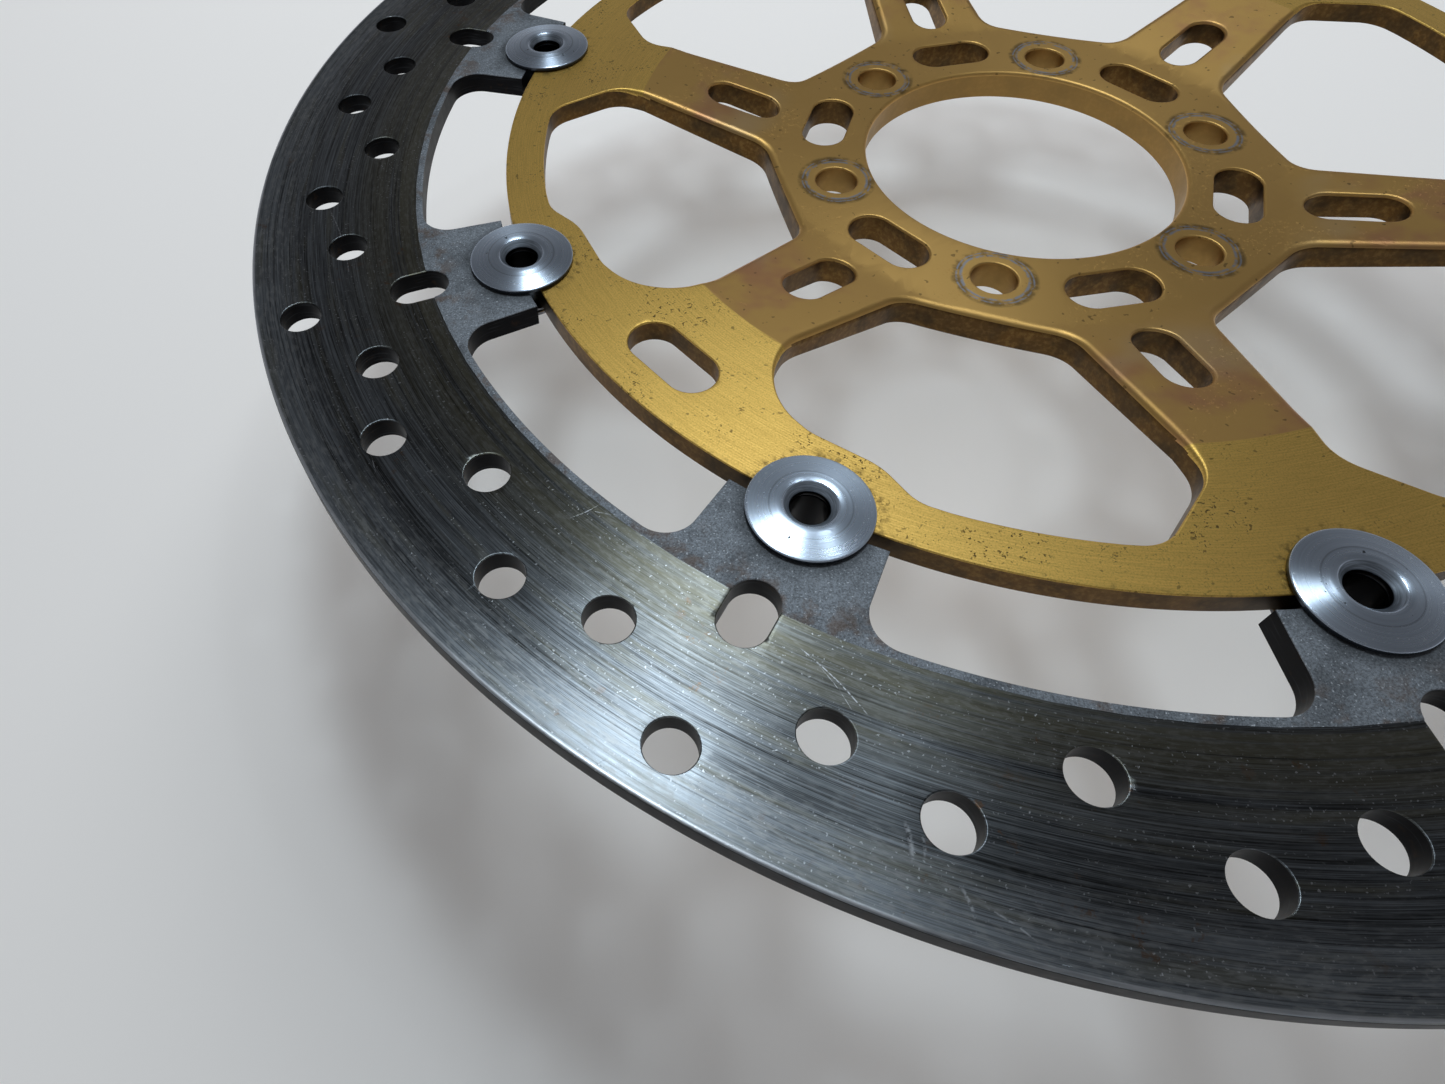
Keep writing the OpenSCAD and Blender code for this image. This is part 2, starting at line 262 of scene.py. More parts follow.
@dataclass
class Plate:
    """A flat plate cut to outlines, with rounded rims.

    Attributes:
        low: Height of the lower face.
        high: Height of the upper face.
        edges: Its closed edges, the outer one among them.
        soft_depth: How far down its upper rims wear the faces' finish.
    """

    low: float
    high: float
    edges: list[Edge]
    soft_depth: float = 0.12

    def build(self) -> bmesh.types.BMesh:
        """Returns the plate as a closed mesh in millimetres."""
        bm = bmesh.new()
        place = bm.verts.layers.int.new("place")
        lower: list[bmesh.types.BMEdge] = []
        upper: list[bmesh.types.BMEdge] = []
        for edge in self.edges:
            first, last = self._wall(bm, place, edge)
            lower += first
            upper += last
        for face in bm.faces:
            soft = face.calc_center_median().z > self.high - self.soft_depth
            face.material_index = Zone.FACE.value if soft else Zone.WALL.value
        for rim, direction in ((upper, 1), (lower, -1)):
            made = bmesh.ops.triangle_fill(
                bm, use_beauty=True, edges=rim, normal=(0, 0, direction)
            )
            for item in made["geom"]:
                if isinstance(item, bmesh.types.BMFace):
                    item.material_index = Zone.FACE.value
        bmesh.ops.recalc_face_normals(bm, faces=bm.faces[:])
        return bm

    def _wall(
        self, bm: bmesh.types.BMesh, place: bmesh.types.BMLayerItem, edge: Edge
    ) -> tuple[list[bmesh.types.BMEdge], list[bmesh.types.BMEdge]]:
        """Raises one wall from its lower rim to its upper rim.

        Args:
            bm: The mesh that gets the wall.
            place: Vertex layer that keeps each vertex's place in the outline.
            edge: The outline and its rounding.

        Returns:
            The edges of the lower rim and of the upper rim.
        """
        inward = edge.inward()
        lower = [edge.bottom] * len(edge.points)
        upper = [edge.top(p.length) if callable(edge.top) else edge.top for p in edge.points]
        # Each ring has the rounding's radii, the share of them that it is set in by,
        # the height of a face, and the share of them that it stands above that face.
        rings: list[tuple[list[float], float, float, float]] = []
        for k in range(3):
            turn = math.pi / 4 * k
            rings.append((lower, 1 - math.sin(turn), self.low, 1 - math.cos(turn)))
        for k in range(edge.steps + 1):
            turn = math.pi / 2 * k / edge.steps
            rings.append((upper, 1 - math.cos(turn), self.high, math.sin(turn) - 1))

        def spot(i: int, ring: tuple[list[float], float, float, float]) -> Vector:
            """Where a ring puts the outline's point i."""
            radii, inset, level, climb = ring
            flat = edge.points[i] + inward[i] * (radii[i] * inset)
            return flat.to_3d() + Vector((0, 0, level + radii[i] * climb))

        verts = []
        for i in range(len(edge.points)):
            vert = bm.verts.new(spot(i, rings[0]))
            vert[place] = i
            verts.append(vert)
        current = [bm.edges.new((v, verts[(i + 1) % len(verts)])) for i, v in enumerate(verts)]
        first = current
        for ring in rings[1:]:
            made = bmesh.ops.extrude_edge_only(bm, edges=current)["geom"]
            current = [g for g in made if isinstance(g, bmesh.types.BMEdge)]
            for vert in {v for e in current for v in e.verts}:
                vert.co = spot(vert[place], ring)
        return first, current


def cut_sectors(bm: bmesh.types.BMesh, radii: Iterable[float]) -> None:
    """Divides a plate's flat faces into sectors, and at some radii.

    Args:
        bm: The plate, in millimetres, centred on the axis.
        radii: Circles along which they are divided.
    """
    pitch = 360 / SECTORS
    for k in range(SECTORS // 2):
        flats = [f for f in bm.faces if f.material_index == Zone.FACE.value]
        geom = {e for f in flats for e in f.edges} | {v for f in flats for v in f.verts}
        bmesh.ops.bisect_plane(
            bm, geom=flats + list(geom), dist=TINY,
            plane_co=(0, 0, 0), plane_no=polar(1, k * pitch + 90).to_3d(),
        )
    for radius in radii:
        sectors: dict[int, set[bmesh.types.BMElem]] = {}
        for face in bm.faces:
            reach = [v.co.xy.length for v in face.verts]
            crossed = min(reach) <= radius <= max(reach)
            if face.material_index != Zone.FACE.value or not crossed:
                continue
            centre = face.calc_center_median()
            angle = math.degrees(math.atan2(centre.y, centre.x)) % 360
            geom = sectors.setdefault(int(angle / pitch), set())
            geom.update((face, *face.edges, *face.verts))
        for k, geom in sectors.items():
            middle = polar(1, (k + 0.5) * pitch).to_3d()
            bmesh.ops.bisect_plane(
                bm, geom=list(geom), dist=TINY, plane_no=middle,
                plane_co=middle * radius * math.cos(math.radians(pitch / 2)),
            )


def lathe(profile: list[tuple[float, float]], steps: int) -> bmesh.types.BMesh:
    """Turns a closed profile about the Z axis.

    Args:
        profile: Corners of the section as (radius, height).
        steps: Faces round the axis.

    Returns:
        A closed mesh in millimetres.
    """
    bm = bmesh.new()
    verts = [bm.verts.new((r, 0, z)) for r, z in profile]
    edges = [bm.edges.new((v, verts[(i + 1) % len(verts)])) for i, v in enumerate(verts)]
    bmesh.ops.spin(
        bm, geom=verts + edges, cent=(0, 0, 0), axis=(0, 0, 1),
        angle=FULL_TURN, steps=steps, use_merge=True,
    )
    bmesh.ops.remove_doubles(bm, verts=bm.verts[:], dist=TINY)
    bmesh.ops.recalc_face_normals(bm, faces=bm.faces[:])
    return bm


def mark_creases(bm: bmesh.types.BMesh, radii: Iterable[float]) -> None:
    """Keeps the flat faces' edges along some circles crisp."""
    for edge in bm.edges:
        reach = [v.co.xy.length for v in edge.verts]
        for radius in radii:
            if all(abs(r - radius) < CREASE_REACH for r in reach):
                edge.smooth = False


def finished_piece(
    bm: bmesh.types.BMesh,
    name: str,
    materials: list[bpy.types.Material],
    place: Matrix | None = None,
) -> bpy.types.Object:
    """Turns a mesh in millimetres into a piece in the scene.

    Args:
        bm: The mesh, which is freed.
        name: The piece's name.
        materials: Its materials, in the order of the face's indices.
        place: Where the mesh goes, in millimetres.

    Returns:
        The new object, at the origin.
    """
    if place is not None:
        bmesh.ops.transform(bm, matrix=place, verts=bm.verts[:])
    bmesh.ops.scale(bm, vec=(MM, MM, MM), verts=bm.verts[:])
    for face in bm.faces:
        face.smooth = True
    for edge in bm.edges:
        if len(edge.link_faces) == 2 and edge.calc_face_angle(0) > SHARP_ANGLE:
            edge.smooth = False
    mesh = bpy.data.meshes.new(name)
    bm.to_mesh(mesh)
    bm.free()
    for material in materials:
        mesh.materials.append(material)
    piece = bpy.data.objects.new(name, mesh)
    bpy.context.scene.collection.objects.link(piece)
    weighted = piece.modifiers.new("Weighted normals", "WEIGHTED_NORMAL")
    weighted.mode = "FACE_AREA"
    weighted.keep_sharp = True
    return piece


def hand_over(piece: bpy.types.Object, node: str, body: str, slot: Slot) -> None:
    """Puts a piece in a CAD node's place, on its body.

    Args:
        piece: The finished piece.
        node: The CAD node that it stands for.
        body: The body that it rides on.
        slot: Not used.
    """
    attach(piece, body)
    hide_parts(node)
    log.info("%s: %d faces, on %s", piece.name, len(piece.data.polygons), body)


# -------------------------------------------------------------- shaders


class Value:
    """A shader value that is used in ordinary arithmetic."""

    def __init__(self, graph: "Graph", socket: bpy.types.NodeSocket) -> None:
        """Wraps a socket of a graph."""
        self.graph = graph
        self.socket = socket

    def __add__(self, other: "Value | float") -> "Value":
        """The sum."""
        return self.graph.math("ADD", self, other)

    __radd__ = __add__

    def __sub__(self, other: "Value | float") -> "Value":
        """The difference."""
        return self.graph.math("SUBTRACT", self, other)

    def __rsub__(self, other: float) -> "Value":
        """The difference, the other way round."""
        return self.graph.math("SUBTRACT", other, self)

    def __mul__(self, other: "Value | float") -> "Value":
        """The product."""
        return self.graph.math("MULTIPLY", self, other)

    __rmul__ = __mul__

    def __truediv__(self, other: "Value | float") -> "Value":
        """The quotient."""
        return self.graph.math("DIVIDE", self, other)

    def __rtruediv__(self, other: float) -> "Value":
        """The quotient, the other way round."""
        return self.graph.math("DIVIDE", other, self)


class Graph:
    """The node tree of a material or a world, with short ways to add to it."""

    def __init__(self, owner: bpy.types.Material | bpy.types.World) -> None:
        """Empties the owner's tree."""
        owner.use_nodes = True
        self.owner = owner
        self.tree = owner.node_tree
        self.tree.nodes.clear()

    def node(
        self,
        kind: str,
        settings: dict[str, object] | None = None,
        inputs: dict[str | int, object] | None = None,
    ) -> bpy.types.Node:
        """Adds a node.

        Args:
            kind: The node's type.
            settings: Its properties, which are set first; stops are a ramp's.
            inputs: Values, or links, of its sockets by name or number.

        Returns:
            The node.
        """
        made = self.tree.nodes.new(kind)
        for key, setting in (settings or {}).items():
            if key == "stops":
                ramp = made.color_ramp.elements
                while len(ramp) < len(setting):
                    ramp.new(0.5)
                for element, (place, colour) in zip(ramp, setting):
                    element.position, element.color = place, colour
            else:
                setattr(made, key, setting)
        for key, given in (inputs or {}).items():
            if isinstance(given, Value):
                self.tree.links.new(given.socket, made.inputs[key])
            else:
                made.inputs[key].default_value = given
        return made

    def math(self, operation: str, *args: Value | float) -> Value:
        """Adds a Math node and returns its result."""
        made = self.node("ShaderNodeMath", {"operation": operation}, dict(enumerate(args)))
        return Value(self, made.outputs[0])

    def smooth(self, value: Value, low: float, high: float) -> Value:
        """A mask that rises smoothly from 0 at low to 1 at high."""
        made = self.node(
            "ShaderNodeMapRange", {"interpolation_type": "SMOOTHSTEP"},
            {"Value": value, "From Min": low, "From Max": high},
        )
        return Value(self, made.outputs[0])

    def band(self, value: Value, low: float, high: float, soft: float) -> Value:
        """A mask that is 1 between low and high, with soft ends."""
        return self.smooth(value, low - soft, low + soft) * (
            1 - self.smooth(value, high - soft, high + soft)
        )

    def vector(self, x: Value | float, y: Value | float, z: Value | float) -> Value:
        """A vector from three values."""
        made = self.node("ShaderNodeCombineXYZ", None, {0: x, 1: y, 2: z})
        return Value(self, made.outputs[0])

    def noise(self, at: Value, scale: float, detail: float, roughness: float) -> Value:
        """Noise between 0 and 1 at a place."""
        made = self.node(
            "ShaderNodeTexNoise", {"noise_dimensions": "3D"},
            {"Vector": at, "Scale": scale, "Detail": detail, "Roughness": roughness},
        )
        return Value(self, made.outputs[0])

    def paint(self, base: Value | Colour, *coats: tuple[Value, Colour]) -> Value | Colour:
        """Lays colours over one another.

        Args:
            base: The colour below.
            coats: The mask and the colour of each coat, from below.

        Returns:
            The colour on top.
        """
        for mask, colour in coats:
            made = self.node(
                "ShaderNodeMix", {"data_type": "RGBA"}, {0: mask, 6: base, 7: colour}
            )
            base = Value(self, made.outputs[2])
        return base

    def metal(
        self, colour: Value, roughness: Value, height: Value, depth: float, grain: float = 0.0
    ) -> bpy.types.Material:
        """Closes the graph with a metal.

        Args:
            colour: Base colour.
            roughness: Roughness.
            height: Relief of the surface, between 0 and 1.
            depth: What the relief spans, in millimetres.
            grain: How strongly the brushing stretches reflections, 0 to 1.

        Returns:
            The material.
        """
        bump = self.node(
            "ShaderNodeBump", None, {"Strength": 1.0, "Distance": depth * MM, "Height": height}
        )
        shader = self.node(
            "ShaderNodeBsdfPrincipled", None,
            {
                "Base Color": colour, "Roughness": roughness, "Metallic": 1.0,
                "Anisotropic": grain, "Anisotropic Rotation": ACROSS_RINGS,
                "Normal": Value(self, bump.outputs[0]),
            },
        )
        self.node("ShaderNodeOutputMaterial", None, {"Surface": Value(self, shader.outputs[0])})
        return self.owner


class Round:
    """Places on a round part, in millimetres from its axis."""

    def __init__(self, graph: Graph) -> None:
        """Reads the object coordinates once for a graph."""
        self.graph = graph
        source = graph.node("ShaderNodeTexCoord")
        scaled = graph.node(
            "ShaderNodeVectorMath", {"operation": "SCALE"},
            {0: Value(graph, source.outputs["Object"]), "Scale": 1 / MM},
        )
        self.point = Value(graph, scaled.outputs[0])
        parts = graph.node("ShaderNodeSeparateXYZ", None, {0: self.point})
        self.x, self.y, self.z = (Value(graph, o) for o in parts.outputs)
        self.radius = graph.math("SQRT", self.x * self.x + self.y * self.y)
        self.angle = graph.math("ARCTAN2", self.y, self.x)

    def swirl(self, around: float, across: float) -> Value:
        """Coordinates for noise in rings, in cells to a radian and to a millimetre."""
        return self.graph.vector(
            self.x / self.radius * around, self.y / self.radius * around, self.radius * across
        )

    def nearest(self, count: int, first: float, radius: float) -> tuple[Value, Value]:
        """Coordinates about the nearest of some places on a circle.

        Args:
            count: How many places there are.
            first: Angle of the first place in degrees.
            radius: Radius of the circle that they are on.

        Returns:
            The offsets outwards and round the axis.
        """
        half = math.pi / count
        folded = self.graph.math("WRAP", self.angle - math.radians(first), half, -half)
        return (
            self.radius * self.graph.math("COSINE", folded) - radius,
            self.radius * self.graph.math("SINE", folded),
        )

    def distance(self, count: int, first: float, radius: float) -> Value:
        """Distance from the nearest of some places on a circle."""
        out, along = self.nearest(count, first, radius)
        return self.graph.math("SQRT", out * out + along * along)

    def from_bobbin(self) -> Value:
        """Distance from the nearest bobbin's axis."""
        return self.distance(BOBBINS, FIRST_BOBBIN, BOBBIN_CIRCLE)


@dataclass(frozen=True)
class Mottle:
    """Noise, and the stretch of it that a mask is cut from.

    Attributes:
        scale: Cells in a millimetre, or in a radian where it runs in rings.
        detail: Octaves.
        roughness: What each finer octave keeps of the last.
        low: Noise where the mask begins.
        high: Noise where the mask is full.
        across: Cells in a millimetre of radius, for noise that runs in rings.
    """

    scale: float
    detail: float = 2
    roughness: float = 0.5
    low: float = 0.0
    high: float = 1.0
    across: float = 0.0

    def noise(self, at: Round) -> Value:
        """The bare noise, from 0 to 1."""
        if self.across:
            rings = at.swirl(self.scale, self.across)
            return at.graph.noise(rings, 1.0, self.detail, self.roughness)
        return at.graph.noise(at.point, self.scale, self.detail, self.roughness)

    def mask(self, at: Round) -> Value:
        """The mask, from 0 to 1."""
        return at.graph.smooth(self.noise(at), self.low, self.high)


@dataclass(frozen=True)
class GoldAnodising:
    """The carrier's finish: gold anodised aluminium, faced on its ring.

    Attributes:
        gold: Colour of the faced ring.
        deep: Colour in the grain of the faced ring.
        bronze: Colour of the hub and the spokes.
        copper: Colour that the anodising shifts to in patches of the spokes.
        pale: Colour of the painted sheen by the spokes' roots.
        dust_and_shade: Colour of brake dust; also painted shade on the walls by the bobbins.
        bare: Colour of aluminium where bolt heads wore through.
        wall: Colour of the cut walls, darkened as painted shade.

    The mottles after the colours are named for what they make.
    """

    gold: Colour = (0.88, 0.585, 0.16, 1)
    deep: Colour = (0.42, 0.26, 0.055, 1)
    bronze: Colour = (0.66, 0.41, 0.135, 1)
    copper: Colour = (0.55, 0.28, 0.14, 1)
    pale: Colour = (0.66, 0.50, 0.30, 1)
    dust_and_shade: Colour = (0.05, 0.038, 0.025, 1)
    bare: Colour = (0.34, 0.38, 0.46, 1)
    wall: Colour = (0.16, 0.085, 0.028, 1)
    cloud: Mottle = Mottle(0.035, 3, 0.6, 0.40, 0.75)
    heat: Mottle = Mottle(0.07, 3, 0.6, 0.42, 0.66)
    sheen: Mottle = Mottle(0.06, low=0.50, high=0.68)
    peel: Mottle = Mottle(3.4, 2, 0.65)
    cut: Mottle = Mottle(14, 2, 0.6, across=3.6)
    wave: Mottle = Mottle(5, across=0.5)
    crowd: Mottle = Mottle(0.09, low=0.46, high=0.64)
    pits: Mottle = Mottle(1.7, 2, 0.6, 0.60, 0.66)
    specks: Mottle = Mottle(0.75, 1, 0.4, 0.735, 0.765)
    smudge: Mottle = Mottle(0.6, 3, 0.65, 0.46, 0.68)
    wander: Mottle = Mottle(0.18)
    rubbed: Mottle = Mottle(0.9, 3, 0.6, 0.36, 0.56)
    ringed: Mottle = Mottle(0.35, 3, 0.6, 0.36, 0.60)
    edged: Mottle = Mottle(0.7, 3, 0.5, 0.5, 0.7)
    grain: Mottle = Mottle(1.1, 3, 0.6)
    soot: Mottle = Mottle(0.20, 3, 0.6)
    gloom: Mottle = Mottle(0.07, 2, 0.6, 0.40, 0.62)

    def face(self, ring_r: float, outer_r: float, bolt_r: float) -> bpy.types.Material:
        """The faces.

        Args:
            ring_r: Radius of the crease where the faced ring begins.
            outer_r: Radius of the outer rim.
            bolt_r: Radius of the bolt circle.

        Returns:
            The material.
        """
        g = Graph(bpy.data.materials.new("gold_face"))
        at = Round(g)
        ring = g.smooth(at.radius, ring_r - 0.15, ring_r + 0.15)
        peel, cut = self.peel.noise(at), self.cut.noise(at)
        lines = g.math("SINE", at.radius * 13.5 + self.wave.noise(at) * 9) * 0.5 + 0.5
        pits = self.pits.mask(at) * self.crowd.mask(at)
        smudge = (1 - g.smooth(at.from_bobbin(), 9.8, 12.5)) * self.smudge.mask(at)
        near_bolt = at.distance(BOLTS, 0, bolt_r) + self.wander.noise(at) * 0.8 - 0.4
        worn = g.band(near_bolt, 6.0, 6.5, 0.18) + g.band(near_bolt, 6.9, 7.2, 0.14)
        worn = worn * self.rubbed.mask(at)
        dirt = g.band(near_bolt, 6.3, 7.9, 0.4) * self.ringed.mask(at)
        rim = g.smooth(at.radius, outer_r - 1.5, outer_r) * self.edged.mask(at)
        tone = g.paint(
            self.bronze,
            (self.heat.mask(at) * g.band(at.radius, 60, 84, 6) * 0.9, self.copper),
            # Painted sheen: a paler patch by the spokes' roots.
            (self.sheen.mask(at) * g.band(at.radius, 54, 68, 5) * 0.45, self.pale),
            (ring, self.gold),
            (self.cloud.mask(at) * 0.25 * ring, self.bronze),
            (g.smooth(peel, 0.44, 0.70) * 0.42 * ring, self.deep),
            (g.smooth(cut, 0.35, 0.7) * 0.25 * ring, self.deep),
            (lines * 0.14 * ring, self.deep),
            (pits * ring * 0.8, self.dust_and_shade),
            (self.specks.mask(at) * 0.5, self.dust_and_shade),
            (smudge * 0.7, self.dust_and_shade),
            (rim * 0.4, self.dust_and_shade),
            (dirt * 0.6, self.dust_and_shade),
            (worn * 0.85, self.bare),
        )
        rough = 0.42 + peel * 0.10 + cut * 0.06 * ring + smudge * 0.2 + pits * 0.15 - ring * 0.02
        height = (peel * 0.8 + cut * 0.3 + lines * 0.25) * ring + peel * (1 - ring) * 0.25
        return g.metal(tone, rough, height - pits * 1.2 - worn * 0.5, 0.014, 0.3)

    def walls(self, bore_r: float, bolt_r: float) -> bpy.types.Material:
        """The walls that the cutter left, dark with painted shade, brighter in the bored holes.

        Args:
            bore_r: Radius of the bore.
            bolt_r: Radius of the bolt circle.

        Returns:
            The material.
        """
        g = Graph(bpy.data.materials.new("gold_wall"))
        at = Round(g)
        bored = g.math(
            "MAXIMUM", 1 - g.smooth(at.radius, bore_r + 0.5, bore_r + 1.5),
            1 - g.smooth(at.distance(BOLTS, 0, bolt_r), 4.5, 5.5),
        )
        grain, soot = self.grain.noise(at), self.soot.noise(at)
        # The dark wall colour is painted shade; the bore and the bolt holes are lifted towards
        # the bronze.
        tone = g.paint(
            self.wall,
            (g.smooth(grain, 0.40, 0.75) * 0.22, self.bronze),
            (g.smooth(soot, 0.42, 0.66) * 0.55, self.dust_and_shade),
            (self.gloom.mask(at) * 0.35, self.dust_and_shade),
            # Painted shade: the walls darken towards the bobbins, under the flanges and beside
            # the rotor's tabs.
            ((1 - g.smooth(at.from_bobbin(), 9, 26)) * 0.75, self.dust_and_shade),
            (bored * 0.5, self.bronze),
        )
        return g.metal(tone, 0.32 + soot * 0.22, grain, 0.010)


@dataclass(frozen=True)
class Scratch:
    """One stray scratch across the pad track, in millimetres and degrees.

    Attributes:
        start: Radius and angle where it begins.
        end: Radius and angle where it ends.
        width: How wide it is.
        strength: How much brighter it is, 0 to 1.
    """

    start: tuple[float, float]
    end: tuple[float, float]
    width: float
    strength: float

    def mask(self, g: Graph, at: Round) -> Value:
        """Returns a mask of the scratch."""
        begin, finish = polar(*self.start), polar(*self.end)
        along = (finish - begin).normalized()
        length = (finish - begin).length
        run = (at.x - begin.x) * along.x + (at.y - begin.y) * along.y
        side = (at.x - begin.x) * -along.y + (at.y - begin.y) * along.x
        bend = g.math("SINE", run * (math.pi / length)) * (length * 0.03)
        off = g.math("ABSOLUTE", side - bend)
        taper = g.band(run, 0.0, length, 0.8)
        return (1 - g.smooth(off, 0.0, self.width)) * taper * self.strength


@dataclass(frozen=True)
class RotorSteel:
    """The rotor's finish: stainless steel, polished in rings by the pads.

    Attributes:
        bright: Colour of freshly rubbed steel.
        sooty_and_shade: Colour of steel filled with pad dust; also painted shade by the bobbins.
        olive: Tint of baked dust near the inner edge.
        dusty: Colour of the pale grit that clings by the rim.
        rust: Colour of light rust.
        land: Colour of the blasted tabs, which the pads don't reach.
        glint: Colour of scratches, of the blasting's sparkle and of the painted highlight on the
            rim's chamfer.
        wall: Colour of the cut walls, near black as painted shade.
        scratches: Stray scratches.

    The mottles after the colours are named for what they make: hair and streak
    are the pads' lines, and bands are rings that wore more or less.
    """

    bright: Colour = (0.36, 0.405, 0.45, 1)
    sooty_and_shade: Colour = (0.026, 0.027, 0.028, 1)
    olive: Colour = (0.19, 0.185, 0.135, 1)
    dusty: Colour = (0.46, 0.48, 0.49, 1)
    rust: Colour = (0.19, 0.095, 0.035, 1)
    land: Colour = (0.42, 0.46, 0.51, 1)
    glint: Colour = (0.78, 0.82, 0.88, 1)
    wall: Colour = (0.011, 0.011, 0.012, 1)
    hair: Mottle = Mottle(11.0, 3, 0.7, across=6.5)
    streak: Mottle = Mottle(3.6, 3, 0.7, across=3.2)
    bands: Mottle = Mottle(0.5, 3, 0.6, across=0.45)
    haze: Mottle = Mottle(5.0, 3, 0.6, across=0.35)
    baking: Mottle = Mottle(1.4, 3, 0.6, 0.28, 0.60, 0.8)
    grit: Mottle = Mottle(70.0, 2, 0.6, 0.46, 0.66, 1.8)
    cloud: Mottle = Mottle(0.045, 3, 0.6)
    blots: Mottle = Mottle(0.32, 4, 0.7, 0.60, 0.68)
    dots: Mottle = Mottle(2.3, 1, 0.4, 0.67, 0.73)
    fray: Mottle = Mottle(1.6, 2, 0.6, 0.38, 0.58)
    blast: Mottle = Mottle(3.6, 3, 0.7)
    dull: Mottle = Mottle(0.16, 3, 0.6, 0.40, 0.70)
    sparkle: Mottle = Mottle(2.6, 1, 0.4, 0.67, 0.73)
    stain: Mottle = Mottle(0.20, 4, 0.65, 0.50, 0.64)
    patch: Mottle = Mottle(0.4, 3, 0.6)
    scratches: tuple[Scratch, ...] = (
        Scratch((131.2, 233.9), (136.2, 238.2), 0.14, 1.0),
        Scratch((132.6, 235.2), (136.4, 237.4), 0.08, 0.6),
        Scratch((148.6, 241.3), (152.4, 241.8), 0.45, 0.55),
        Scratch((149.5, 242.1), (151.5, 242.3), 0.30, 0.45),
        Scratch((153.8, 244.0), (156.6, 244.6), 0.35, 0.55),
        Scratch((155.2, 245.2), (157.0, 246.9), 0.18, 0.6),
        Scratch((127.6, 217.4), (131.9, 216.8), 0.16, 0.7),
        Scratch((129.4, 217.2), (127.4, 218.8), 0.12, 0.6),
        Scratch((144.8, 178.5), (141.6, 186.5), 0.16, 0.5),
        Scratch((149.2, 202.0), (150.4, 205.5), 0.14, 0.5),
        Scratch((139.0, 32.0), (146.0, 36.0), 0.14, 0.8),
        Scratch((150.0, 101.0), (147.0, 107.0), 0.16, 0.7),
        Scratch((133.0, 318.0), (141.0, 321.0), 0.12, 0.8),
    )

    def track(self, inner: float, outer: float) -> bpy.types.Material:
        """The track that the pads rub, on both faces.

        Args:
            inner: Inner radius of the pad track.
            outer: Outer radius of the pad track.

        Returns:
            The material.
        """
        g = Graph(bpy.data.materials.new("rotor_track"))
        at = Round(g)
        hair, streak, bands = self.hair.noise(at), self.streak.noise(at), self.bands.noise(at)
        haze, cloud, grit = self.haze.noise(at), self.cloud.noise(at), self.grit.mask(at)
        dots = self.dots.mask(at) * g.smooth(haze, 0.42, 0.60)
        blots = self.blots.mask(at) * g.smooth(cloud, 0.50, 0.62)
        inside = 1 - g.smooth(at.radius, inner + 2, inner + 18)
        smeared = g.smooth(haze, 0.48, 0.66) * 0.7
        baked = g.math("MAXIMUM", inside, smeared) * self.baking.mask(at)
        edge = g.smooth(at.radius, outer - 11, outer - 2)
        rubbed = g.smooth(hair * 0.5 + streak * 0.4 + bands * 0.25 + edge * 0.12, 0.42, 0.88)
        # A thin bright line on the rim's chamfer: a worn edge, and a painted highlight.
        keen = g.band(at.radius, outer + 0.35, outer + 0.75, 0.1) * g.smooth(haze, 0.30, 0.50)
        marks = self.scratches[0].mask(g, at)
        for scratch in self.scratches[1:]:
            marks = g.math("MAXIMUM", marks, scratch.mask(g, at))
        tone = g.paint(
            self.sooty_and_shade,
            (rubbed, self.bright),
            (baked * 0.75, self.olive),
            (grit * (0.08 + edge * 0.34 + baked * 0.12), self.dusty),
            ((1 - g.smooth(streak, 0.28, 0.42)) * 0.55, self.sooty_and_shade),
            (g.smooth(cloud, 0.5, 0.75) * 0.3, self.sooty_and_shade),
            (blots * 0.55, self.rust),
            (dots * 0.5, self.glint),
            # Painted highlight on the rim's chamfer, with wear.
            (keen * 0.8, self.glint),
            (marks * self.fray.mask(at), self.glint),
        )
        rough = 0.20 + hair * 0.14 + bands * 0.12 + baked * 0.06
        rough = rough + (grit + 0.3) * edge * 0.06 + marks * 0.2
        height = hair * 0.6 + streak * 0.3 - dots * 0.4 - marks * 0.8 - blots * 0.3
        return g.metal(tone, rough, height, 0.012, 0.86)

    def lands(self, inner: float) -> bpy.types.Material:
        """The tabs and the inner rim, which the pads don't reach.

        Args:
            inner: Inner radius of the pad track.

        Returns:
            The material.
        """
        g = Graph(bpy.data.materials.new("rotor_land"))
        at = Round(g)
        blast, sparkle = self.blast.noise(at), self.sparkle.mask(at)
        rim = g.smooth(at.radius, inner - 9, inner - 1)
        tone = g.paint(
            self.land,
            (g.smooth(blast, 0.30, 0.75) * 0.6, self.sooty_and_shade),
            (self.dull.mask(at) * 0.35, self.sooty_and_shade),
            (sparkle * 0.75, self.glint),
            (rim * self.stain.mask(at) * 0.45, self.rust),
            # Painted shade: the tabs darken in a ring round each bobbin's flange.
            ((1 - g.smooth(at.from_bobbin(), 9.6, 12.5)) * 0.5, self.sooty_and_shade),
        )
        return g.metal(tone, 0.64 + blast * 0.12, blast * 0.7 + sparkle * 0.4, 0.012)

    def walls(self) -> bpy.types.Material:
        """The walls of the holes, the bays and the rim, near black with painted shade.

        Returns:
            The material.
        """
        g = Graph(bpy.data.materials.new("rotor_wall"))
        at = Round(g)
        layers = g.noise(g.vector(at.x * 0.15, at.y * 0.15, at.z * 2.2), 1.0, 2, 0.5)
        patch = self.patch.noise(at)
        # The near-black wall colour is painted shade.
        tone = g.paint(
            self.wall,
            (g.smooth(layers, 0.55, 0.75) * 0.04, self.land),
            (g.smooth(patch, 0.60, 0.75) * 0.1, self.rust),
        )
        return g.metal(tone, 0.36 + patch * 0.2, layers * 0.3 + patch * 0.7, 0.02)


